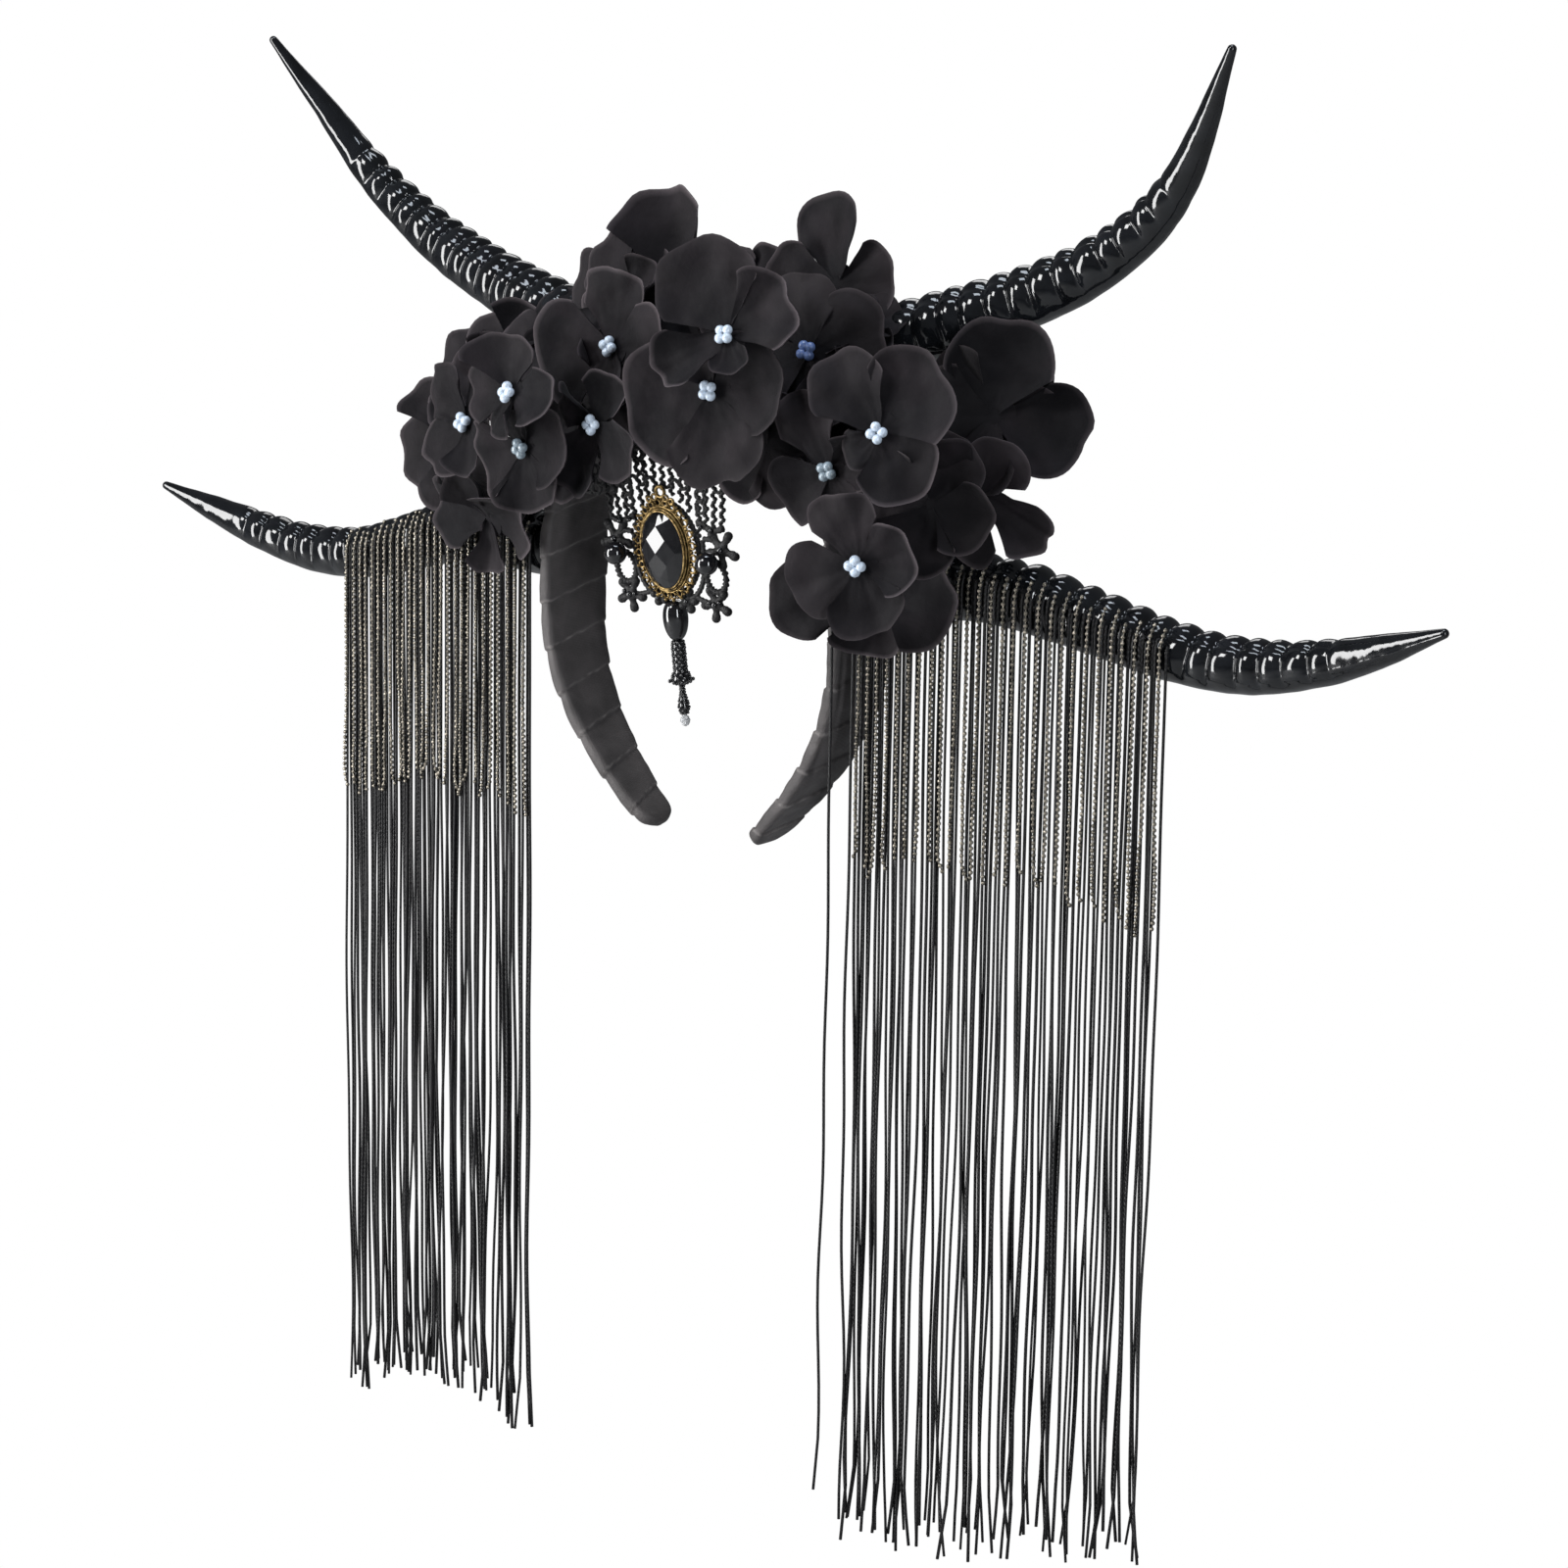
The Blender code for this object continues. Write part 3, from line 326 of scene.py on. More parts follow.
def smooth_step(low, high, value):
    t = np.clip((value - low) / (high - low), 0.0, 1.0)
    return t * t * (3 - 2 * t)


class Route:
    """A smooth centre line that is read by shares of its length."""

    def __init__(self, points):
        self.curve = smooth_route(points)
        self.along = distances(self.curve)
        self.length = self.along[-1]

    def at(self, share):
        return np.array([np.interp(share * self.length, self.along, self.curve[:, k]) for k in range(3)])

    def direction(self, share):
        reach = 0.01
        ahead = self.at(min(1.0, share + reach)) - self.at(max(0.0, share - reach))
        return ahead / np.linalg.norm(ahead)

    def share_at_x(self, x):
        return float(np.interp(x, self.curve[:, 0], self.along)) / self.length


def horn_route(base, spread, table, side=1):
    points = [np.array(base) + (a * spread[0], c * spread[1], b * spread[2]) for a, b, c in table]
    return Route([p * (side, 1, 1) for p in points])


# Materials

BANDS_SCALE = 0.314                 # of a wave texture, for bands one unit apart


class Look:
    """A material whose colour, roughness and relief follow textures in the object's own coordinates."""

    def __init__(self, name, colour, roughness, metallic=0.0, **sockets):
        self.material = bpy.data.materials.new(name)
        self.material.use_nodes = True
        self.nodes, self.links = self.material.node_tree.nodes, self.material.node_tree.links
        self.shader, self.normal = self.nodes["Principled BSDF"], None
        self.shader.inputs["Base Color"].default_value = (*colour, 1.0)
        self.shader.inputs["Roughness"].default_value = roughness
        self.shader.inputs["Metallic"].default_value = metallic
        for socket, value in sockets.items():
            self.shader.inputs[socket.replace("_", " ")].default_value = value

    def add_texture(self, kind, **inputs):
        texture = self.nodes.new(kind)
        for socket, value in inputs.items():
            texture.inputs[socket].default_value = value
        coordinates = self.nodes.new("ShaderNodeTexCoord")
        self.links.new(coordinates.outputs["Object"], texture.inputs["Vector"])
        return texture

    def noise(self, size, detail=3.0):
        return self.add_texture("ShaderNodeTexNoise", Scale=1.0 / size, Detail=detail).outputs["Fac"]

    def bands(self, size, direction):
        texture = self.add_texture("ShaderNodeTexWave", Scale=BANDS_SCALE / size, Distortion=0.4)
        texture.bands_direction = direction
        return texture.outputs["Fac"]

    def ramp(self, size, stops, detail=3.0):
        """Colours at shares of a noise of the given size."""
        ramp = self.nodes.new("ShaderNodeValToRGB")
        elements = ramp.color_ramp.elements
        elements[0].position, elements[0].color = stops[0][0], (*stops[0][1], 1.0)
        elements[1].position, elements[1].color = stops[-1][0], (*stops[-1][1], 1.0)
        for position, colour in stops[1:-1]:
            elements.new(position).color = (*colour, 1.0)
        self.links.new(self.noise(size, detail), ramp.inputs["Fac"])
        return ramp.outputs["Color"]

    def colours(self, size, *stops, detail=3.0, wear_and_highlight=None):
        """The base colour, which goes over to the paler one where the mesh has its edges: the ribbon's worn
        edges, and on the petals a frayed rim with a painted highlight, plus painted light on some petals.
        """
        source = self.ramp(size, stops, detail)
        if wear_and_highlight is not None:
            edge, mix = self.nodes.new("ShaderNodeAttribute"), self.nodes.new("ShaderNodeMix")
            edge.attribute_name = "edge"
            mix.data_type = "RGBA"
            self.links.new(edge.outputs["Fac"], mix.inputs[0])
            self.links.new(source, mix.inputs[6])
            mix.inputs[7].default_value = (*wear_and_highlight, 1.0)
            source = mix.outputs[2]
        self.links.new(source, self.shader.inputs["Base Color"])

    def roughness(self, size, low, high):
        scale = self.nodes.new("ShaderNodeMapRange")
        scale.inputs["To Min"].default_value = low
        scale.inputs["To Max"].default_value = high
        self.links.new(self.noise(size), scale.inputs["Value"])
        self.links.new(scale.outputs["Result"], self.shader.inputs["Roughness"])

    def relief(self, height, distance, strength=1.0):
        """A bump on top of the ones added before."""
        bump = self.nodes.new("ShaderNodeBump")
        bump.inputs["Distance"].default_value = distance
        bump.inputs["Strength"].default_value = strength
        self.links.new(height, bump.inputs["Height"])
        if self.normal is not None:
            self.links.new(self.normal, bump.inputs["Normal"])
        self.normal = bump.outputs["Normal"]
        self.links.new(self.normal, self.shader.inputs["Normal"])


def horn_material():
    """Black resin with a wet gloss, cloudy patches and small dents."""
    look = Look("horn_resin", (0.004, 0.0045, 0.0055), 0.1)
    look.colours(9 * MM, (0.3, (0.003, 0.0034, 0.004)), (0.75, (0.008, 0.009, 0.011)))
    look.roughness(3 * MM, 0.03, 0.14)
    look.relief(look.noise(4.5 * MM, 1.0), 0.16 * MM)
    look.relief(look.noise(0.9 * MM), 0.012 * MM)
    return look.material


def ribbon_material():
    """Matte satin ribbon with a fine weave, paler along its worn edges."""
    look = Look("satin_ribbon", (0.014, 0.013, 0.014), 0.62, Specular_IOR_Level=0.3, Sheen_Weight=0.04)
    look.colours(12 * MM, (0.3, (0.042, 0.0385, 0.0385)), (0.7, (0.078, 0.071, 0.071)), detail=4.0,
                 wear_and_highlight=(0.20, 0.185, 0.18))
    look.roughness(2 * MM, 0.5, 0.75)
    look.relief(look.bands(0.55 * MM, "Z"), 0.05 * MM, 0.7)
    look.relief(look.bands(0.7 * MM, "Y"), 0.05 * MM, 0.7)
    look.relief(look.noise(5 * MM), 0.5 * MM, 0.5)
    return look.material


def petal_material():
    """Charcoal cloth, smooth in the middle and paler, a little mauve, along the frayed edges, where a rim
    highlight is painted too; some petals are painted lighter as if lit.
    """
    look = Look("petal_cloth", (0.012, 0.011, 0.013), 0.78, Specular_IOR_Level=0.13, Sheen_Weight=0.03,
                Sheen_Roughness=0.4)
    look.colours(22 * MM, (0.3, (0.0026, 0.0024, 0.0033)), (0.5, (0.0048, 0.0042, 0.0054)),
                 (0.72, (0.0105, 0.0082, 0.0102)), wear_and_highlight=(0.085, 0.072, 0.078))
    look.roughness(4 * MM, 0.68, 0.88)
    look.relief(look.noise(7 * MM), 0.8 * MM, 0.9)
    look.relief(look.noise(0.35 * MM, 2.0), 0.05 * MM, 0.8)
    return look.material


def thread_material():
    """Black waxed thread with two twisted plies."""
    look = Look("waxed_thread", (0.004, 0.004, 0.0045), 0.42, Specular_IOR_Level=0.3)
    look.roughness(4 * MM, 0.3, 0.55)
    look.colours(6 * MM, (0.3, (0.002, 0.002, 0.0025)), (0.75, (0.008, 0.0075, 0.008)))
    look.relief(look.bands(0.9 * MM, "DIAGONAL"), 0.12 * MM, 0.8)
    return look.material


def chain_material():
    """Blackened steel balls, brighter where they are rubbed."""
    look = Look("dark_chain", (0.16, 0.15, 0.135), 0.3, 1.0)
    look.colours(3 * MM, (0.3, (0.09, 0.083, 0.07)), (0.6, (0.26, 0.235, 0.195)), (0.8, (0.50, 0.45, 0.37)),
                 detail=2.0)
    look.roughness(1.5 * MM, 0.2, 0.42)
    return look.material


def lace_material():
    """Black corded cotton with a fine fuzz of thread."""
    look = Look("corded_lace", (0.006, 0.006, 0.007), 0.6, Specular_IOR_Level=0.28)
    look.colours(1.2 * MM, (0.3, (0.002, 0.002, 0.0025)), (0.75, (0.012, 0.0115, 0.012)))
    look.roughness(0.8 * MM, 0.42, 0.7)
    look.relief(look.noise(0.4 * MM), 0.18 * MM, 0.9)
    return look.material


def brass_material():
    """Aged brass, dark in patches and bright where it is worn."""
    look = Look("old_brass", (0.32, 0.21, 0.08), 0.34, 1.0)
    look.colours(1.6 * MM, (0.32, (0.02, 0.014, 0.007)), (0.5, (0.15, 0.10, 0.04)),
                 (0.75, (0.38, 0.27, 0.115)), detail=4.0)
    look.roughness(1.0 * MM, 0.22, 0.5)
    look.relief(look.noise(0.5 * MM), 0.12 * MM, 0.7)
    return look.material


def polished_material(name, colour, roughness, size, **sockets):
    """Polished glass or pearl, with faint clouds of the given size."""
    look = Look(name, colour, roughness, **sockets)
    light = tuple(min(1.0, c * 1.25 + 0.001) for c in colour)
    dark = tuple(c * 0.8 for c in colour)
    look.colours(size, (0.35, dark), (0.7, light))
    look.roughness(size, roughness * 0.7, roughness * 1.5)
    return look.material


# Horns

HORN_SIDES = 52
RINGS_PER_RIB = 14
SMOOTH_RINGS = 44
RIB_DEPTH = 2.7 * MM
RIB_ROUNDNESS = 0.65                # lower is a rounder crest with a sharper groove
RIB_SLANT = 0.05                    # of a rib, from the top of the horn to its sides
RIB_UNEVENNESS = 0.16               # of a rib
RIB_FADE = (0.06, 0.02)             # shares of the horn before and past the end of the ribs
CREST_GROOVE_DEPTH = 1.1 * MM       # between the row of knobs on top and the ribs beside it
CREST_GROOVE_ANGLE = math.radians(40)
CREST_GROOVE_WIDTH = math.radians(6)
DENT_DEPTH = 0.30 * MM
DENT_SIZE = 7 * MM
MOULD_SEAM_HEIGHT = 0.35 * MM
MOULD_SEAM_ANGLE = math.radians(118)
MOULD_SEAM_WIDTH = 0.09             # radians
# Each row: name, base, spread, route, taper, radius at the base, end of the ribs, number added to the seed
HORNS = (
    ("upper", UPPER_BASE, UPPER_SPREAD, UPPER_ROUTE, UPPER_TAPER, UPPER_BASE_RADIUS, UPPER_RIBS_END, 0),
    ("lower", LOWER_BASE, LOWER_SPREAD, LOWER_ROUTE, LOWER_TAPER, LOWER_BASE_RADIUS, LOWER_RIBS_END, 5),
)


def horn_reach(angles, share, ribs, ribs_end, radius, taper, has_seam):
    """Distances from the centre line to the surface, once round the horn at one place."""
    top = np.cos(angles)                # 1 on top of the horn, -1 underneath
    turned = np.minimum(angles, TURN - angles)
    phase = share / ribs_end * ribs + RIB_SLANT * (1.0 - top)
    phase = phase + RIB_UNEVENNESS * noise.noise(Vector((share * ribs * 0.9, radius / MM, 0.0)))
    fading = 1.0 - smooth_step(ribs_end - RIB_FADE[0], ribs_end + RIB_FADE[1], share)
    # the ribs are deepest on top and run out underneath
    strength = smooth_step(-0.92, -0.30, top) * (0.75 + 0.25 * smooth_step(0.5, 0.9, top)) * fading
    groove = 1.0 - np.abs(np.cos(math.pi * phase)) ** RIB_ROUNDNESS
    crest = np.exp(-((turned - CREST_GROOVE_ANGLE) / CREST_GROOVE_WIDTH) ** 2) * fading
    reach = radius - (0.35 + 0.65 * taper) * (RIB_DEPTH * strength * groove + CREST_GROOVE_DEPTH * crest)
    if has_seam:
        reach += MOULD_SEAM_HEIGHT * np.exp(-((angles - MOULD_SEAM_ANGLE) / MOULD_SEAM_WIDTH) ** 2)
    return reach


def make_horn(name, route, base_radius, taper_table, ribs_end, material, seed, has_seam):
    """A tapering horn with rounded rings on its upper side and a smooth, bent tip."""
    ribs = round(ribs_end * route.length / RIB_PITCH)
    shares = list(np.linspace(0.0, ribs_end, ribs * RINGS_PER_RIB + 1))
    shares += list(np.linspace(ribs_end, 1.0, SMOOTH_RINGS + 1)[1:])
    angles = np.arange(HORN_SIDES) * TURN / HORN_SIDES
    rings = []
    for share in shares:
        centre, ahead = route.at(share), route.direction(share)
        up = np.array((0.0, 0.0, 1.0)) - ahead[2] * ahead
        up /= np.linalg.norm(up)
        across = np.cross(ahead, up)
        taper = table_value(taper_table, share)
        reach = horn_reach(angles, share, ribs, ribs_end, base_radius * taper, taper, has_seam)
        spots = np.cos(angles)[:, None] * up + np.sin(angles)[:, None] * across
        dents = [noise.noise(Vector(centre + spot * base_radius * taper) / DENT_SIZE + Vector((seed, 0, 0)))
                 for spot in spots]
        reach = reach + DENT_DEPTH * np.array(dents) * (0.3 + 0.7 * taper)
        rings.append(centre + spots * reach[:, None])
    # the last rings round off the tip
    tip, ahead = route.at(1.0), route.direction(1.0)
    end = rings[-1]
    tip_radius = base_radius * taper_table[-1][1]
    for t in (0.35, 0.65, 0.88, 0.98):
        rings.append(tip + ahead * tip_radius * t + (end - tip) * math.sqrt(1 - t * t))
    shell = Shell()
    add_rings(shell, rings)
    make_piece(f"ribbed_{name}", shell, material, [name])


# Band

WRAP_PITCH = 16.5 * MM              # from one turn of the ribbon to the next
WRAP_STEP = 0.7 * MM
WRAP_FRAY = 0.022                   # of a turn, the paler worn edge of the ribbon
WRAP_PUFF = 0.30 * MM
WRAP_WRINKLES = 0.22 * MM
BAND_STEP = 0.8 * MM
BAND_EDGE = 1.3 * MM
BAND_END = 0.12 * MM                # left out at each tip


def band_half_path(count):
    """Points (x, z) of the band's middle line from the top centre to the tip of the right leg."""
    widest = BAND_THICKNESS / 2 - BAND_RISE
    path = [(BAND_HALF_SPAN * math.sin(a), widest + BAND_RISE * math.cos(a))
            for a in np.linspace(0.0, math.pi / 2, count)]
    tip = (BAND_TIP_HALF_GAP, widest - BAND_DROP)
    above_tip = (tip[0] + BAND_LEG_FULLNESS * math.cos(BAND_TIP_ANGLE),
                 tip[1] + BAND_LEG_FULLNESS * math.sin(BAND_TIP_ANGLE))
    hull = np.array([(BAND_HALF_SPAN, widest), (BAND_HALF_SPAN, widest - BAND_SHOULDER), above_tip, tip])
    for t in np.linspace(0.0, 1.0, count)[1:]:
        weights = np.array([(1 - t) ** 3, 3 * t * (1 - t) ** 2, 3 * t * t * (1 - t), t ** 3])
        path.append(tuple(weights @ hull))
    return np.array(path)


def band_outline(half_width, half_height, edge):
    """Once round the band's section: places (across, out), their normals and the share of the way round."""
    corners = ((1, 1, 0.0), (-1, 1, 90.0), (-1, -1, 180.0), (1, -1, 270.0))
    places, normals = [], []
    for sx, sy, start in corners:
        for angle in np.radians(start + np.linspace(0, 90, 6)):
            normal = (math.cos(angle), math.sin(angle))
            places.append((sx * (half_width - edge) + edge * normal[0],
                           sy * (half_height - edge) + edge * normal[1]))
            normals.append(normal)
        if start in (0.0, 180.0):
            for t in np.linspace(0, 1, 12)[1:-1]:
                places.append((sx * (half_width - edge) * (1 - 2 * t), sy * half_height))
                normals.append((0.0, sy))
    places = np.array(places)
    steps = np.linalg.norm(np.roll(places, -1, axis=0) - places, axis=1)
    around = np.concatenate(([0.0], np.cumsum(steps)[:-1])) / steps.sum()
    return places, np.array(normals), around


def make_band(material):
    """The band under a ribbon wound round it, each turn lying over the edge of the last."""
    half = band_half_path(60)
    path = np.vstack((half[:0:-1] * (-1, 1), half))
    along = distances(path)
    length = along[-1]
    leg = length / 2 * BAND_NARROWING
    tip_half = BAND_TIP_WIDTH / 2
    rings, shades = [], []
    for s in np.linspace(BAND_END, length - BAND_END, round(length / BAND_STEP)):
        before, here, after = (np.array([np.interp(place, along, path[:, k]) for k in range(2)])
                               for place in (s - MM, s, s + MM))
        tangent = (after - before) / np.linalg.norm(after - before)
        outward = np.array((-tangent[1], tangent[0]))
        from_tip = min(s, length - s)
        width = BAND_WIDTH + (BAND_TIP_WIDTH - BAND_WIDTH) * max(0.0, 1 - from_tip / leg) ** 1.5
        if from_tip < tip_half:         # the tips are round
            width *= math.sqrt(max(0.03, 1 - (1 - from_tip / tip_half) ** 2))
        thickness = BAND_THICKNESS * min(1.0, 0.45 + from_tip / (5 * MM))
        edge = min(BAND_EDGE, thickness / 2 * 0.95, width / 2 * 0.95)
        places, normals, around = band_outline(width / 2, thickness / 2, edge)
        # each turn of the ribbon starts as a step and runs out under the next one
        phase = (s / WRAP_PITCH - around) % 1.0
        lift = WRAP_STEP * (1 - phase) + WRAP_PUFF * np.sin(math.pi * phase)
        wrinkles = [noise.noise(Vector((p[0] / (9 * MM), s / (4 * MM), p[1] / (5 * MM)))) for p in places]
        lift = lift + WRAP_WRINKLES * np.array(wrinkles)
        spots = places + normals * lift[:, None]
        rings.append(np.stack((here[0] + outward[0] * spots[:, 1], spots[:, 0],
                               here[1] + outward[1] * spots[:, 1]), axis=1))
        wear_and_highlight = [0.5 + 0.9 * noise.noise(Vector((p[0] / (2 * MM), s / (2 * MM), 7.0))) for p in places]
        shades.append(np.exp(-((phase - WRAP_FRAY) / WRAP_FRAY) ** 2) * np.clip(wear_and_highlight, 0.0, 1.0))
    shell = Shell()
    add_rings(shell, np.array(rings), np.concatenate(shades))
    make_piece("wrapped_band", shell, material, ["headband"])


# Fringes

THREADS = 70
THREAD_RADIUS = 0.55 * MM
THREAD_CLEAR = 0.8 * MM             # from the horn to the middle of a thread
THREAD_START = 22                   # degrees round the horn, up from its front
THREAD_POINTS = 34
THREAD_SWAY = 1.3 * MM
THREAD_CLUMP = 1.2 * MM             # sideways at the free ends
CHAIN_START = 36
CHAINS = 27
CHAIN_CLEAR = 2.7 * MM
CHAIN_BALL = 0.78 * MM
CHAIN_PITCH = 2.04 * MM
CHAIN_WIRE = 0.28 * MM
CHAIN_SWAY = 0.5 * MM
# Each row: distance out, height of the free end
LOOSE_STRANDS = ((66.0 * MM, -373.0 * MM), (75.0 * MM, -381.0 * MM))
LOOSE_SWAY = 2.2 * MM


def wrap_points(route, x, clear, start):
    """Round the lower horn at one place along it, from start (degrees up from its front) to its front."""
    share = route.share_at_x(x)
    centre, ahead = route.at(share), route.direction(share)
    radius = LOWER_BASE_RADIUS * table_value(LOWER_TAPER, share) / math.hypot(ahead[0], ahead[1]) + clear
    angles = np.radians(np.linspace(start, 0, 8))
    return np.stack((np.full(len(angles), x), centre[1] - radius * np.cos(angles),
                     centre[2] + radius * np.sin(angles)), axis=1)


def hanging_points(top, end, sway, lean, rng, count):
    """From the horn's front straight down, a little wavy, and looser towards the free end."""
    share = np.linspace(0.0, 1.0, count)[1:]
    phases = [rng.uniform(0, TURN) for _ in range(4)]
    loose = share ** 1.4
    x = top[0] + lean[0] * loose + sway * loose * np.sin(7 * share + phases[0])
    x = x + 0.35 * sway * share * np.sin(23 * share + phases[1])
    y = top[1] + lean[1] * loose + sway * loose * np.sin(6 * share + phases[2])
    splay = smooth_step(0.94, 1.0, share) * rng.uniform(-2.5, 2.5) * MM
    return np.stack((x + splay, y, top[2] + (end - top[2]) * share), axis=1)


def make_threads(name, side, node, ends, material, rng):
    """Loose threads that start on the horn's front and hang side by side in small clumps."""
    route = horn_route(LOWER_BASE, LOWER_SPREAD, LOWER_ROUTE)
    shell = Shell()
    for k in range(THREADS):
        share = (k + 0.5) / THREADS
        x = FRINGE_IN + (FRINGE_OUT - FRINGE_IN) * share + rng.uniform(-0.5, 0.5) * MM
        layer = THREAD_CLEAR + rng.uniform(0.0, 0.9) * MM
        wrap = wrap_points(route, x, layer, THREAD_START + rng.uniform(-6, 6))
        end = THREAD_END - table_value(ends, share) + rng.uniform(-9, 4) * MM
        clump = THREAD_CLUMP * math.sin(share * 46 + side)
        lean = (clump + rng.uniform(-1.6, 1.6) * MM, rng.uniform(-1.5, 3.5) * MM)
        down = hanging_points(wrap[-1], end, THREAD_SWAY, lean, rng, THREAD_POINTS)
        radius = THREAD_RADIUS * rng.uniform(0.85, 1.15)
        add_tube(shell, np.concatenate((wrap, down)) * (side, 1, 1), radius)
    if side > 0:
        for x, end in LOOSE_STRANDS:
            top = np.array((x + 1.5 * MM, -18.0 * MM, -62.0 * MM))
            down = hanging_points(top, end, LOOSE_SWAY, (-1.5 * MM, 2 * MM), rng, THREAD_POINTS)
            add_tube(shell, np.concatenate(([top], down)), THREAD_RADIUS)
    make_piece(name, shell, material, [node])


def even_points(path, pitch):
    """Points at equal steps along a path."""
    along = distances(path)
    places = np.arange(0.0, along[-1], pitch)
    return np.stack([np.interp(places, along, path[:, k]) for k in range(3)], axis=1)


def make_chains(name, side, node, material, rng):
    """Fine ball chains over the threads, which start a little higher on the horn's front."""
    route = horn_route(LOWER_BASE, LOWER_SPREAD, LOWER_ROUTE)
    template = ball_template(8, 5)
    shell = Shell()
    for k in range(CHAINS):
        share = (k + 0.5) / CHAINS
        x = FRINGE_IN + (FRINGE_OUT - FRINGE_IN) * share + rng.uniform(-0.4, 0.4) * MM
        wrap = wrap_points(route, x, CHAIN_CLEAR, CHAIN_START + rng.uniform(-9, 9))
        end = CHAIN_END - table_value(CHAIN_ENDS, share) + rng.uniform(-4, 3) * MM
        lean = (rng.uniform(-0.8, 0.8) * MM, rng.uniform(-0.5, 0.5) * MM)
        down = hanging_points(wrap[-1], end, CHAIN_SWAY, lean, rng, 24)
        path = smooth_route(np.concatenate((wrap, down)), 3) * (side, 1, 1)
        places = even_points(path, CHAIN_PITCH)
        for place in places:
            add_ball(shell, place, CHAIN_BALL, template)
        add_tube(shell, places, CHAIN_WIRE, 4)
    make_piece(name, shell, material, [node])


# Lace

LACE_RUN = LACE_SEAT - LACE_KNEE
LACE_DOWN = Vector((0.0, math.sin(LACE_LEAN), -math.cos(LACE_LEAN)))
LACE_OUT = Vector((0.0, -math.cos(LACE_LEAN), -math.sin(LACE_LEAN)))
CORD_RADIUS = 0.95 * MM
FAN_CORDS = 8                       # from the middle to each side
FAN_HALF_WIDTH = 31.0               # millimetres, at the band
FAN_HOLE = (15.0, 18.0, 34.0)       # half width, half height, distance down of the setting's place (mm)
ARC_ROWS = (-8.0, 3.0, 12.0)        # millimetres down
LOOP_ROWS = (-3.0, 1.5, 6.0, 10.5, 15.0, 19.5)
STAR_ARMS = 5
ROSETTE = (-30.5, 12.5)             # sideways and down, in millimetres
ROSETTE_LOOPS = 6
# Each row: sideways, down, reach (mm), turn (degrees). The side stars are mirrored on the other side.
SIDE_STARS = ((23.6, 33.5, 6.2, -18), (19.3, 53.0, 5.6, -26))
LOWER_STARS = ((6.5, 53.0, 3.6, -70), (-6.0, 52.0, 3.0, 250))
# Each row: radius (mm), places sideways and down (mm), mirrored on the other side
SIDE_CORDS = (
    (1.15, ((14.0, 24.0), (18.0, 26.5), (22.0, 27.0), (25.5, 26.0))),
    (1.00, ((15.5, 31.0), (15.3, 40.0), (13.5, 47.0), (9.5, 51.5), (4.0, 53.0))),
    (0.95, ((9.5, 51.0), (14.0, 52.5), (18.0, 53.0))),
    (1.00, ((16.0, 30.5), (20.0, 30.5), (24.0, 33.5))),
)
# Each row: sideways, down, radius (mm), mirrored on the other side
LACE_BEADS = (
    (24.0, 33.5, 1.3),
    (19.3, 53.0, 1.2),
    (17.0, 52.5, 0.8),
    (21.5, 52.0, 0.8),
    (6.5, 53.0, 0.9),
    (16.0, 26.0, 0.9),
    (20.5, 26.8, 0.9),
    (3.5, 51.5, 0.9),
)


def lace_point(x, down, front=0.0):
    """A place on the lace from its distance below the knee; above the knee it runs back to the band."""
    if down < 0:
        place = LACE_KNEE + LACE_RUN * (-down / LACE_RUN.length)
        return (x, place.y - front, place.z)
    place = LACE_KNEE + LACE_DOWN * down + LACE_OUT * front
    return (x, place.y, place.z)


def pendant_frame(x, down, front):
    """A frame on the lace: X sideways, Y up along the lace, Z out of it."""
    turn = Matrix((LACE_OUT.cross(LACE_DOWN), -LACE_DOWN, LACE_OUT)).transposed().to_4x4()
    return Matrix.Translation(lace_point(x, down, front)) @ turn


def add_lace_cord(shell, flat, radius=CORD_RADIUS, front=0.0, closed=False, knots=0.16):
    """A knotty cord on the lace along flat places (sideways, down), in millimetres."""
    flat = np.asarray(flat, dtype=float)
    if closed:
        flat = np.concatenate((flat, flat[:1]))
    path = np.array([lace_point(x * MM, down * MM, front) for x, down in flat])
    path = even_points(smooth_route(path, 8), 0.55 * MM)
    if closed:
        path = path[:-1]
    bumps = 1.0 + knots * np.sin(np.arange(len(path)) * 2.1)
    add_tube(shell, path, radius * bumps, 7, closed, flatten=0.8)


def zigzag(places, pitch, swing):
    """Places from side to side of a smooth way through flat places."""
    way = even_points(smooth_route([(x, down, 0.0) for x, down in places]), pitch)
    way[::2, 0] -= swing
    way[1::2, 0] += swing
    return way[:, :2]


def ring_places(x, down, half_width, half_height, count=14):
    return [(x + half_width * math.cos(a), down + half_height * math.sin(a))
            for a in np.arange(count) * TURN / count]


def add_star(shell, x, down, reach, turn, template):
    """A star of five knobbed arms round a small disc."""
    for arm in range(STAR_ARMS):
        angle = math.radians(turn) + arm * TURN / STAR_ARMS
        direction = np.array((math.cos(angle), -math.sin(angle)))
        points = [np.array((x, down)) + direction * r for r in (0.2, reach * 0.5, reach)]
        path = np.array([lace_point(px * MM, py * MM) for px, py in points])
        path = even_points(path, 0.5 * MM)
        bulge = np.linspace(0.0, 1.0, len(path))
        radius = 1.80 * MM - 0.40 * MM * bulge + 0.30 * MM * np.sin(bulge * 9.0)
        add_tube(shell, path, radius, 8, flatten=0.7)
        add_ball(shell, path[-1], 1.60 * MM, template)


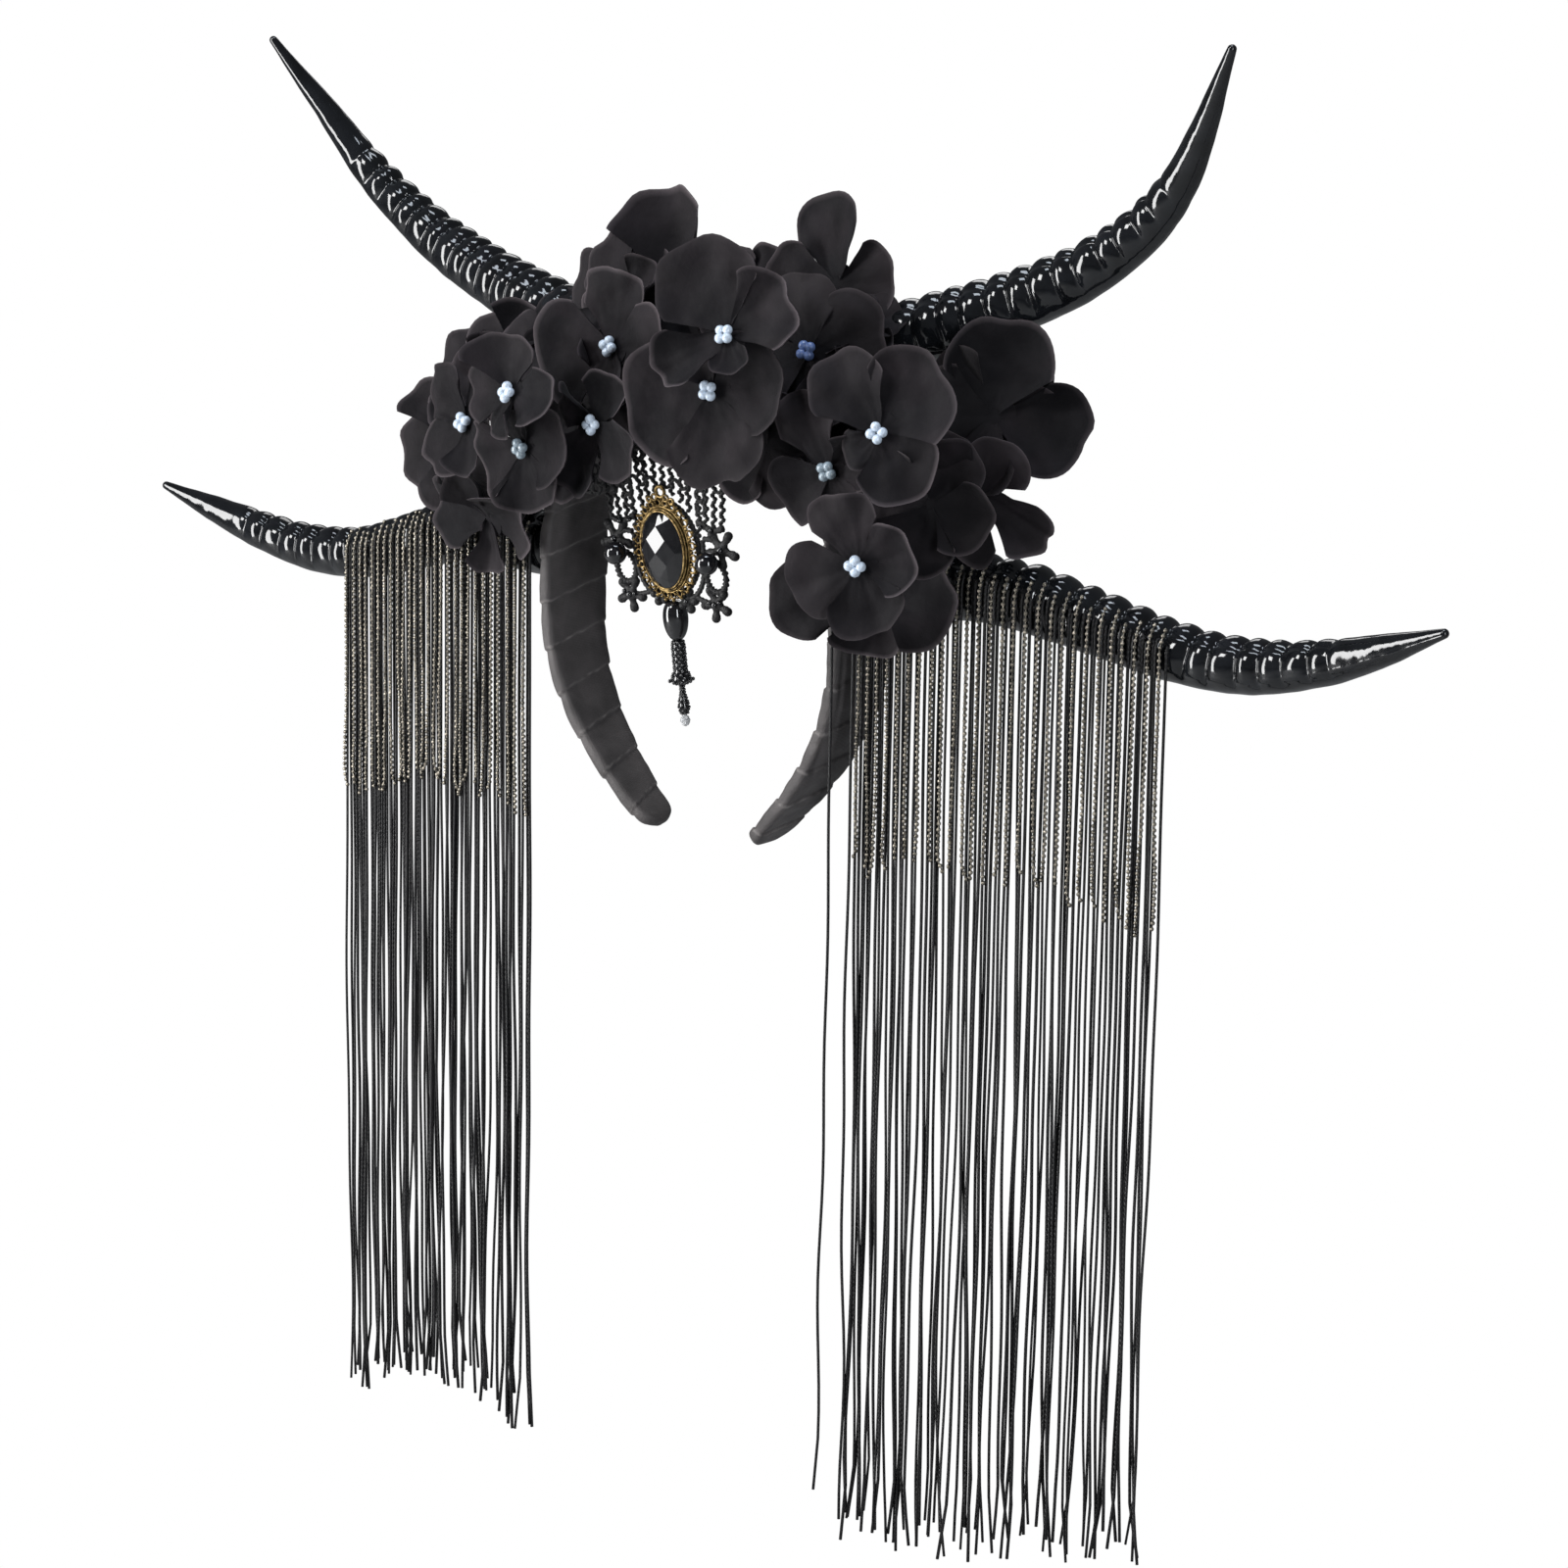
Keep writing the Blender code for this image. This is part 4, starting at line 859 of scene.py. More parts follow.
def add_fan(shell):
    """Zigzag cords from the band down to the medallion and past its sides."""
    top = -LACE_RUN.length / MM * 0.97
    half_width, half_height, centre = FAN_HOLE
    for k in range(FAN_CORDS):
        share = k / (FAN_CORDS - 1)
        over_hole = math.sqrt(max(0.0, 1 - (share * 26.0 / half_width) ** 2))
        bottom = centre - half_height * over_hole if over_hole else 25.5 + 2.0 * share
        wide, narrow = share * FAN_HALF_WIDTH, share * (24.5 if bottom > 20 else 26.5)
        for side in (-1, 1) if k else (1,):
            places = ((side * wide, top), (side * (wide * 0.95 + 0.4), -4),
                      (side * (wide + narrow) / 2, (top + bottom) / 2), (side * narrow, bottom))
            add_lace_cord(shell, zigzag(places, 1.7, 0.75), CORD_RADIUS * 0.85, knots=0.3)


def make_lace(material):
    """Corded lace: a fan of knotty cords, loops between them, and stars at the sides."""
    shell = Shell()
    template = ball_template(10, 6)
    add_fan(shell)
    for side in (-1, 1):
        # wavy cords across the fan, and two columns of loops
        for down in ARC_ROWS:
            spread = 30.0 - 0.17 * (down + 8.0)
            arc = [(side * spread * t, down + 1.6 * math.sin(t * 22)) for t in np.linspace(0.0, 1.0, 15)]
            add_lace_cord(shell, arc, CORD_RADIUS * 0.7, 0.3 * MM)
        for down in LOOP_ROWS:
            outer = ring_places(side * (17.5 - 0.08 * down), down, 1.9, 2.0)
            inner = ring_places(side * (10.5 - 0.04 * down), down - 8, 1.7, 1.9)
            add_lace_cord(shell, outer, 0.6 * MM, 0.2 * MM, True)
            add_lace_cord(shell, inner, 0.55 * MM, 0.2 * MM, True)
        # the cords, stars and ring beside the setting
        for radius, places in SIDE_CORDS:
            add_lace_cord(shell, [(side * x, down) for x, down in places], radius * MM)
        for x, down, reach, turn in SIDE_STARS:
            add_star(shell, side * x, down, reach, turn if side > 0 else 180 - turn, template)
        add_lace_cord(shell, ring_places(side * 20.3, 43.6, 4.3, 5.3), 1.15 * MM, 0.0, True, knots=0.3)
    for star in LOWER_STARS:
        add_star(shell, *star, template)
    # a cord round the setting, and the rosette of small loops at one side
    add_lace_cord(shell, ring_places(0, SETTING_BELOW_KNEE / MM, 13.4, 16.2, 28), 1.1 * MM, 0.0, True)
    for x, down in ring_places(*ROSETTE, 3.6, 3.6, ROSETTE_LOOPS):
        add_lace_cord(shell, ring_places(x, down, 1.9, 1.9, 10), 0.75 * MM, 2.4 * MM, True)
    make_piece("corded_lace", shell, material, ["lace"])


def make_lace_beads(material):
    """Small beads sewn on the lace."""
    shell = Shell()
    template = ball_template(10, 6)
    for side in (-1, 1):
        for x, down, radius in LACE_BEADS:
            add_ball(shell, lace_point(side * x * MM, down * MM, 1.3 * MM), radius * MM, template)
    add_ball(shell, lace_point(ROSETTE[0] * MM, ROSETTE[1] * MM, 3.0 * MM), 2.0 * MM, template)
    make_piece("lace_beads", shell, material)


# Medallion and drop

SCROLLS = 24                        # loops round the setting
SETTING_POINTS = 72
# Each row: distance past the stone, height, radius of a plain rim, in millimetres
RIMS = ((0.4, 2.6, 0.42), (1.0, 2.0, 0.38), (1.8, 1.3, 0.32))
# Each row: half width, half height, height of a corner of the plate under the rims, in millimetres
PLATE = ((8.0, 12.0, 0.25), (11.4, 15.5, 0.25), (11.4, 15.5, 0.95), (8.0, 12.0, 0.95))
# Each row: shift in loops, half width, half height, height, radius of a ball, in millimetres
EDGE_BALLS = ((0.5, 13.9, 18.0, 1.1, 0.72), (0.0, 12.1, 16.2, 1.3, 0.62), (0.0, 13.4, 17.5, 0.9, 0.50))
# Each row: sideways, up, radius of a loop beside the hanging loop, in millimetres
TOP_LOOPS = ((-2.6, 18.2, 1.1), (2.6, 18.2, 1.1), (-5.0, 17.2, 1.0), (5.0, 17.2, 1.0))
# Each row: radius and depth below the lace's edge, in millimetres
COLUMN = ((1.7, 14.3), (2.1, 16.0), (2.1, 25.0), (3.6, 28.4), (2.6, 29.3), (1.0, 30.2))
TIP = ((0.6, 30.4), (0.8, 33.5), (1.5, 36.0), (1.9, 38.6), (1.3, 40.4), (0.7, 41.0))


def oval_points(half_width, half_height, z, count):
    angles = np.arange(count) * TURN / count
    return np.stack((half_width * np.cos(angles), half_height * np.sin(angles), np.full(count, z)), axis=1)


def oval_place(turns, half_width, half_height, z):
    """A place on an oval in millimetres, at a share of the way round it."""
    angle = turns * TURN
    return (half_width * MM * math.cos(angle), half_height * MM * math.sin(angle), z * MM)


def add_loop(shell, centre, radius, wire, count=14, sides=7):
    add_tube(shell, oval_points(radius, radius, 0.0, count) + np.asarray(centre), wire, sides, closed=True)


def make_medallion(material):
    """Brass border: plain rims on a plate, an edge of loops and beads, and a hanging loop."""
    shell = Shell()
    template = ball_template(10, 6)
    for grow, z, radius in RIMS:
        half_width, half_height = STONE_HALF_WIDTH + grow * MM, STONE_HALF_HEIGHT + grow * MM
        rim = oval_points(half_width, half_height, z * MM, SETTING_POINTS)
        add_tube(shell, rim, radius * MM, 8, closed=True)
    plate = [oval_points(a * MM, b * MM, z * MM, SETTING_POINTS) for a, b, z in PLATE]
    shell.add(np.concatenate(plate), [grid_faces(5, SETTING_POINTS) % (4 * SETTING_POINTS)])
    for k in range(SCROLLS):
        add_loop(shell, oval_place((k + 0.5) / SCROLLS, 12.3, 16.4, 0.9), 1.15 * MM, 0.42 * MM)
        for shift, half_width, half_height, z, radius in EDGE_BALLS:
            place = oval_place((k + shift) / SCROLLS, half_width, half_height, z)
            add_ball(shell, place, radius * MM, template)
    add_loop(shell, (0.0, 20.2 * MM, 1.0 * MM), 1.9 * MM, 0.62 * MM, 20, 9)
    for x, y, radius in TOP_LOOPS:
        add_loop(shell, (x * MM, y * MM, 1.4 * MM), radius * MM, 0.45 * MM)
    make_piece("brass_medallion", shell, material, ["setting"],
               place=pendant_frame(0.0, SETTING_BELOW_KNEE, 0.9 * MM))


def make_stone(material):
    """The black oval stone: four rhombus facets that meet at the top, and rows of facets to the girdle."""
    a, b = STONE_HALF_WIDTH, STONE_HALF_HEIGHT
    rhomb_out, rhomb_up, height, girdle = 4.1 * MM, 4.4 * MM, 4.6 * MM, 1.0 * MM
    lift = 3.95 * MM
    points = [(0.0, -0.3 * MM, height)]
    points += [(sx * rhomb_out, sy * rhomb_up, lift) for sx, sy in ((1, 1), (-1, 1), (-1, -1), (1, -1))]
    low = 2 * lift - height
    points += [(0.0, 9.0 * MM, low), (0.0, -9.2 * MM, low)]
    points += [(7.4 * MM, 0.0, 2.9 * MM), (-7.4 * MM, 0.0, 2.9 * MM)]
    points += [(0.80 * a * math.cos(t), 0.84 * b * math.sin(t), 2.5 * MM)
               for t in (np.arange(8) + 0.5) * TURN / 8]
    points += [tuple(p) for z in (girdle, 0.0) for p in oval_points(a, b, z, 24)]
    bm = bmesh.new()
    for point in points:
        bm.verts.new(point)
    bmesh.ops.convex_hull(bm, input=bm.verts)
    bm.verts.index_update()
    shell = Shell()
    faces = [[v.index for v in face.verts] for face in bm.faces]
    shell.add([v.co[:] for v in bm.verts], [faces])
    bm.free()
    make_piece("cut_stone", shell, material, ["stone"], sharp=1,
               place=pendant_frame(0.0, SETTING_BELOW_KNEE, 2.8 * MM))


def make_side_beads(material):
    template = ball_template(32, 16)
    for node, side in (("bead_left", -1), ("bead_right", 1)):
        shell = Shell()
        centre = lace_point(side * BEAD_OUT, BEAD_BELOW_KNEE, 0.9 * MM + BEAD_RADIUS)
        add_ball(shell, centre, BEAD_RADIUS, template)
        make_piece(f"round_{node}", shell, material, [node])


def add_turned(shell, profile, sides=32):
    """A turned form from its profile (radius, depth), in millimetres."""
    radii, depths = zip(*profile)
    rings = []
    for depth in np.linspace(depths[0], depths[-1], 40):
        radius = float(np.interp(depth, depths, radii)) * MM
        ring = oval_points(radius, radius, 0.0, sides)
        rings.append(np.stack((ring[:, 0], np.full(sides, -depth * MM), ring[:, 1]), axis=1))
    add_rings(shell, rings)


def bead_ring(shell, template, reach, depth, count, radius, start=0.0):
    """Small beads round the drop's wire at one depth; start is a share of the step between them."""
    for k in range(count):
        across, out, down = oval_place((k + start) / count, reach, reach, -depth)
        add_ball(shell, (across, down, out), radius * MM, template)


def bead_cover(shell, template, profile, rows, per_row, radius):
    """Seed beads set in a lattice round a turned form."""
    radii, depths = zip(*profile)
    for row in range(rows):
        depth = depths[0] + (depths[-1] - depths[0]) * (row + 0.5) / rows
        reach = float(np.interp(depth, depths, radii))
        bead_ring(shell, template, reach, depth, per_row, radius, 0.5 * (row % 2))


def make_drop(glass, crystal):
    """Pear bead, beaded column with a crown foot, beaded drop and a crystal, on one wire."""
    place = pendant_frame(0.0, DROP_BELOW_KNEE, 0.0)
    template = ball_template(8, 5)
    pear, column, tip, end = Shell(), Shell(), Shell(), Shell()
    profile = [(5.1 * math.sin(a) ** 0.75 * (1 - 0.28 * a / math.pi), 7.2 * (1 - math.cos(a)))
               for a in np.linspace(0.02, math.pi - 0.35, 24)]
    add_turned(pear, [(0.4, 0.0)] + profile[1:] + [(1.6, 14.0)])
    make_piece("pear_bead", pear, glass, ["drop_bead"], place=place)
    add_turned(column, COLUMN, 20)
    bead_cover(column, template, COLUMN, 14, 8, 0.66)
    bead_ring(column, template, 4.0, 28.6, 8, 0.75)
    make_piece("beaded_column", column, glass, ["drop_column"], place=place)
    add_turned(tip, TIP, 16)
    bead_cover(tip, template, TIP, 10, 6, 0.55)
    make_piece("beaded_tip", tip, glass, ["drop_tip"], place=place)
    add_ball(end, (0.0, -43.2 * MM, 0.0), (1.8 * MM, 2.2 * MM, 1.8 * MM), ball_template(8, 4))
    make_piece("crystal_end", end, crystal, ["drop_crystal"], sharp=5, place=place)


# Flowers

PETAL_ROWS = 18
PETAL_COLUMNS = 26
PETAL_THICKNESS = 0.5 * MM
PETAL_HALF_ANGLE = math.radians(54)
PETAL_LIFTS = (-0.02, 0.045)        # rise towards the outside, of the lower and the upper pair
PEARL_RADIUS = 1.85 * MM
# Each row: beads' name in the flowers' table, material, colour
PEARLS = (
    ("pearl", "white_pearl", (0.48, 0.56, 0.66)),
    ("blue", "blue_pearl", (0.13, 0.20, 0.42)),
    ("grey", "grey_pearl", (0.20, 0.25, 0.29)),
)
# Each row: radius and height in millimetres
CALYX = ((7.5, 0.5), (7.7, -0.2), (4.2, -0.9), (2.8, -2.0), (1.5, -3.4), (0.3, -4.0))
# Each row: place in millimetres, turned to the side, tilted up, turned in its own plane, size
FILLER = (
    (-104, -14, 2, -15, 25, 20, 0.68),
    (-84, -14, 10, -10, 35, 60, 0.70),
    (-64, -12, 20, -10, 40, 10, 0.72),
    (-66, -12, 6, -10, 20, 70, 0.62),
    (50, -32, -10, 5, -10, 30, 0.70),
    (112, -24, -24, 25, 0, 70, 0.75),
    (0, -14, 16, 0, 20, 30, 0.75),
    (20, -8, 37, 0, 30, 45, 0.64),
    (-35, -10, 36, -10, 40, 15, 0.75),
    (-31, -23, 2, -5, 0, 35, 0.66),
    (72, -21, -3, 10, 0, 10, 0.62),
    (-85, -17, -35, -10, 0, 40, 0.60),
    (116, 2, 4, 30, 10, 65, 0.80),
    (72, -10, 29, 15, 30, 30, 0.52),
    (-55, -20, -16, -10, 0, 50, 0.70),
)
# Length and width of each petal in per cent of the usual ones, anticlockwise from the flower's first petal
EVEN_PETALS = (100, 100, 92, 90, 100, 95, 95, 90)
PETALS = {
    "top_left": (95, 90, 116, 66, 90, 90, 90, 90),
    "back_left": (72, 80, 95, 85, 95, 90, 80, 90),
    "top_right": (74, 90, 98, 80, 82, 85, 90, 90),
    "far_left": (85, 90, 85, 85, 90, 80, 90, 85),
    "far_right": (100, 85, 100, 100, 90, 90, 85, 70),
    "outer_right": (75, 90, 90, 90, 90, 80, 98, 48),
    "low_left": (92, 90, 85, 90, 110, 70, 70, 50),
    "low_right": (100, 80, 80, 90, 116, 66, 68, 90),
    "upper_left": (90, 90, 90, 76, 108, 90, 55, 80),
    "side_left": (80, 90, 90, 80, 90, 85, 80, 90),
    "front_left": (85, 72, 70, 80, 106, 76, 98, 80),
    "mid_left": (85, 80, 80, 90, 90, 85, 62, 80),
    "lower_right": (80, 80, 108, 62, 85, 90, 90, 80),
    "front_right": (95, 100, 92, 76, 45, 80, 76, 105),
    "front_centre": (90, 100, 40, 80, 100, 108, 97, 86),
    "upper_centre": (85, 80, 98, 108, 85, 56, 45, 80),
    "lowest_right": (66, 95, 80, 74, 78, 86, 74, 95),
    "rear_left": (75, 90, 75, 90, 90, 95, 90, 95),
    "rear_right": (75, 90, 70, 90, 75, 90, 90, 95),
}


def flower_turn(aside, tilt, spin):
    """The rotation that faces a flower: aside turns it round the head, tilt raises it."""
    yaw = Matrix.Rotation(math.radians(aside), 4, "Z")
    pitch = Matrix.Rotation(math.radians(90 - tilt), 4, "X")
    return yaw @ pitch @ Matrix.Rotation(math.radians(spin), 4, "Z")


def flower_place(name, turn):
    """Where a flower stands, read from the tip of its node's calyx."""
    rotation = np.array(turn)[:3, :3]
    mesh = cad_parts[f"flower_{name}"].data
    points = np.array([v.co[:] for v in mesh.vertices]) @ rotation
    tip = points[np.argmin(points[:, 2])]
    return Matrix.Translation(Vector(rotation @ (tip + (0.0, 0.0, CALYX_DEPTH)))) @ turn


def add_petal(shell, heading, length, width, cup, lift, rng):
    """One broad petal: narrow at the eye, round outside, with a soft fold and a wavy, frayed edge that carries
    a painted rim highlight.
    """
    out = np.append(np.linspace(0.06, 0.975, PETAL_ROWS - 1) ** 0.85, 1.0)
    wide = np.linspace(-1.0, 1.0, PETAL_COLUMNS)
    wide = 0.4 * wide + 0.6 * np.sin(wide * math.pi / 2)
    u, v = np.meshgrid(out, wide, indexing="ij")
    # the outline: u runs from the eye to the rim, v from side to side
    phases = [rng.uniform(0, TURN) for _ in range(5)]
    notch = rng.uniform(-0.03, 0.06)
    reach = length * (1 - 0.30 * np.abs(v) ** 3.0 - notch * np.exp(-(v / 0.16) ** 2)
                      + 0.030 * np.sin(3.6 * v + phases[3]) + 0.014 * np.sin(9 * v + phases[0]))
    angle = v * PETAL_HALF_ANGLE * (0.88 + 0.12 * u) * (1 - (1 - width) * smooth_step(0.1, 0.6, u))
    radius = u * reach
    x, y = radius * np.cos(angle), radius * np.sin(angle)
    # curled edges, one side bent over, waves, veins, a fold down the middle and fine crumples
    rim = np.maximum(u, np.abs(v) ** 1.5 * (0.35 + 0.65 * u))
    curl = smooth_step(0.72, 1.0, rim) * rng.uniform(-2.2, 2.4) * MM
    bend = rng.uniform(5.0, 11.0) if rng.random() < 0.4 else rng.uniform(-1.5, 3.0)
    side_curl = smooth_step(0.25, 1.0, v * rng.choice((-1, 1))) * u ** 1.5 * bend * MM
    wave = length * rng.uniform(0.04, 0.10) * u ** 2 * np.sin(2.7 * v + phases[1])
    ripple = length * 0.022 * u ** 4 * np.sin(9.0 * v + phases[2])
    veins = 0.18 * MM * u * np.cos(15.0 * v + phases[4])
    fold = -rng.uniform(0.3, 1.6) * MM * u * np.exp(-(v / 0.22) ** 2)
    twist = y * math.tan(math.radians(rng.uniform(-12, 12)))
    z = length * math.tan(math.radians(cup)) * u ** 1.7 + lift * length * u
    crumple = 0.75 * MM * smooth_step(0.15, 0.6, u) * np.sin(x / (2.7 * MM) + phases[2]) * np.sin(
        y / (3.3 * MM) + phases[4])
    z = z + curl + side_curl + wave + ripple + veins + fold + twist + crumple
    # turned to its place round the eye, with an underside and a closed rim
    c, s = math.cos(heading), math.sin(heading)
    top = np.stack((c * x - s * y, s * x + c * y, z + PETAL_THICKNESS), axis=2).reshape(-1, 3)
    under = top - (0.0, 0.0, PETAL_THICKNESS)
    # paler rim: the cloth's frayed cut edge, together with a painted rim highlight
    wear_and_highlight = smooth_step(0.955, 1.0, rim) * rng.uniform(0.25, 1.0)
    # painted light: some petals are painted lighter, more so towards their outside, as if they catch the light
    painted_lit_tone = rng.choice((0.0, 0.02, 0.05, 0.10, 0.16)) * smooth_step(0.1, 1.0, u)
    wear_and_highlight = np.maximum(wear_and_highlight, painted_lit_tone).reshape(-1)
    count = len(top)
    sheet = grid_faces(PETAL_ROWS, PETAL_COLUMNS, closed=False)
    rows = np.arange(PETAL_ROWS) * PETAL_COLUMNS
    loop = np.concatenate((np.arange(PETAL_COLUMNS), rows[1:-1] + PETAL_COLUMNS - 1,
                           (rows[-1] + np.arange(PETAL_COLUMNS))[::-1], rows[1:-1][::-1]))
    following = np.roll(loop, -1)
    rim_faces = np.stack((loop, following, following + count, loop + count), axis=1)
    shell.add(np.concatenate((top, under)), [sheet[:, ::-1], sheet + count, rim_faces],
              np.concatenate((wear_and_highlight, wear_and_highlight)))


def make_flower(row, seed, material):
    name, aside, tilt, size, spin, cup, _ = row
    rng = random.Random(seed)
    sizes = PETALS.get(name, EVEN_PETALS)
    shell = Shell()
    for petal, (length, width) in enumerate(zip(sizes[::2], sizes[1::2])):
        heading = petal * math.pi / 2 + rng.uniform(-0.12, 0.12)
        add_petal(shell, heading, PETAL_LENGTH * size * (length / 100), width / 100, cup,
                  PETAL_LIFTS[petal % 2], rng)
    add_calyx(shell, size)
    make_piece(f"petals_{name}", shell, material, [f"flower_{name}"], sharp=70,
               place=flower_place(name, flower_turn(aside, tilt, spin)))


def add_calyx(shell, size):
    """The cup behind the petals, with the disc that closes the flower's throat."""
    rings = [oval_points(radius * size * MM, radius * size * MM, z * MM, 16) for radius, z in CALYX]
    add_rings(shell, rings)


def make_filler(material):
    """Smaller flowers without beads, deep in the bed, which close the gaps between the others."""
    shell = Shell()
    for seed, (x, y, z, aside, tilt, spin, size) in enumerate(FILLER):
        rng = random.Random(900 + seed)
        flower = Shell()
        for petal in range(4):
            length = PETAL_LENGTH * size * rng.uniform(0.9, 1.05)
            add_petal(flower, petal * math.pi / 2, length, 1.0, 8, PETAL_LIFTS[petal % 2], rng)
        add_calyx(flower, size)
        turn = np.array(flower_turn(aside, tilt, spin))[:3, :3]
        points = np.concatenate(flower.points) @ turn.T + np.array((x, y, z)) * MM
        shell.add_shell(flower, points)
    make_piece("petals_between", shell, material, sharp=70)


def make_pearls(materials):
    """Four small beads in the eye of each flower that shows its eye."""
    template = ball_template(16, 10)
    shells = {kind: Shell() for kind in materials}
    for number, (name, aside, tilt, _, spin, _, kind) in enumerate(FLOWERS):
        if kind is None:
            continue
        rng = random.Random(500 + number)
        place = np.array(flower_place(name, flower_turn(aside, tilt, spin)))
        start = rng.uniform(0, TURN)
        for k in range(4):
            angle = start + k * TURN / 4
            reach = PEARL_RADIUS * rng.uniform(0.98, 1.12)
            height = 2.6 * MM + rng.uniform(-0.3, 0.5) * MM
            local = (reach * math.cos(angle), reach * math.sin(angle), height)
            add_ball(shells[kind], place[:3, :3] @ local + place[:3, 3],
                     PEARL_RADIUS * rng.uniform(0.9, 1.0), template)
    for kind, shell in shells.items():
        make_piece(f"pearls_{kind}", shell, materials[kind])


# Studio

CAMERA_AZIMUTH = math.radians(39.0)
CAMERA_ELEVATION = math.radians(10.4)
CAMERA_ROLL = math.radians(0.96)
CAMERA_DISTANCE = 1.350
PICTURE_WIDTH = 1600
PIXELS_PER_MM = 2.9                 # at the target's distance
TARGET_ASIDE = 25.9 * MM
TARGET_UP = 17.3 * MM
TARGET_DROP = 151.0 * MM
FLOOR_HEIGHT = -0.56
FLOOR_HALF = 6.0
WHITE = (1.0, 1.0, 1.0)
ROOM_COLOUR = (0.92, 0.95, 1.0)
ROOM_STRENGTH = 0.12
MIDDLE = (0.0, 0.0, -0.08)
# Each row: name, place, what it points at, size, power in watts, colour
LIGHTS = (
    ("key", (-0.35, -1.5, 1.1), MIDDLE, (0.5, 0.5), 17.0, WHITE),
    ("strip", (-0.75, -0.90, -0.15), (0.0, 0.0, 0.0), (0.34, 1.60), 30.0, WHITE),
    ("side", (1.6, -0.9, 0.15), MIDDLE, (0.22, 1.1), 15.0, (0.93, 0.96, 1.0)),
    ("top", (0.2, -0.2, 1.5), MIDDLE, (0.8, 0.4), 12.0, (0.82, 0.90, 1.0)),
    ("back", (-0.9, 1.4, 1.2), MIDDLE, (0.8, 0.8), 6.0, WHITE),
)


def view_axes():
    """Right, up and towards the camera, without roll."""
    ca, sa = math.cos(CAMERA_AZIMUTH), math.sin(CAMERA_AZIMUTH)
    ce, se = math.cos(CAMERA_ELEVATION), math.sin(CAMERA_ELEVATION)
    return Vector((ca, sa, 0.0)), Vector((-sa * se, ca * se, ce)), Vector((sa * ce, -ca * ce, se))


def make_camera():
    right, up, toward = view_axes()
    target = right * TARGET_ASIDE + up * TARGET_UP - Vector((0.0, 0.0, TARGET_DROP))
    c, s = math.cos(CAMERA_ROLL), math.sin(CAMERA_ROLL)
    turn = Matrix((right * c + up * s, up * c - right * s, toward)).transposed().to_4x4()
    camera = bpy.data.cameras.new("camera")
    camera.sensor_width = 36.0
    camera.lens = 36.0 * PIXELS_PER_MM / MM * CAMERA_DISTANCE / PICTURE_WIDTH
    obj = new_object("camera", camera)
    obj.matrix_world = Matrix.Translation(target + toward * CAMERA_DISTANCE) @ turn
    bpy.context.scene.camera = obj


def make_light(name, place, target, size, power, colour):
    light = bpy.data.lights.new(name, "AREA")
    light.shape = "RECTANGLE"
    light.size, light.size_y = size
    light.energy = power
    light.color = colour
    obj = new_object(name, light)
    obj.location = place
    obj.rotation_euler = (Vector(target) - Vector(place)).to_track_quat("-Z", "Y").to_euler()


def camera_sees(nodes, links, others, camera):
    """One shader for what the camera sees straight on, and another for light and mirrored views."""
    path, mix = nodes.new("ShaderNodeLightPath"), nodes.new("ShaderNodeMixShader")
    links.new(path.outputs["Is Camera Ray"], mix.inputs["Fac"])
    links.new(others, mix.inputs[1])
    links.new(camera, mix.inputs[2])
    return mix.outputs["Shader"]


def floor_material():
    """Pale paper that stays as white as the wall behind it, and is dimmer in what the object mirrors."""
    look = Look("pale_floor", (0.4, 0.4, 0.4), 0.9)
    look.colours(400 * MM, (0.3, (0.36, 0.36, 0.36)), (0.7, (0.42, 0.42, 0.42)))
    paper = look.nodes.new("ShaderNodeEmission")
    paper.inputs["Color"].default_value = (*WHITE, 1.0)
    both = camera_sees(look.nodes, look.links, look.shader.outputs["BSDF"], paper.outputs["Emission"])
    look.links.new(both, look.nodes["Material Output"].inputs["Surface"])
    return look.material


def make_floor():
    mesh = bpy.data.meshes.new("floor")
    corners = [(x * FLOOR_HALF, y * FLOOR_HALF, FLOOR_HEIGHT)
               for x, y in ((-1, -1), (1, -1), (1, 1), (-1, 1))]
    mesh.from_pydata(corners, [], [(0, 1, 2, 3)])
    mesh.materials.append(floor_material())
    floor = new_object("floor", mesh)


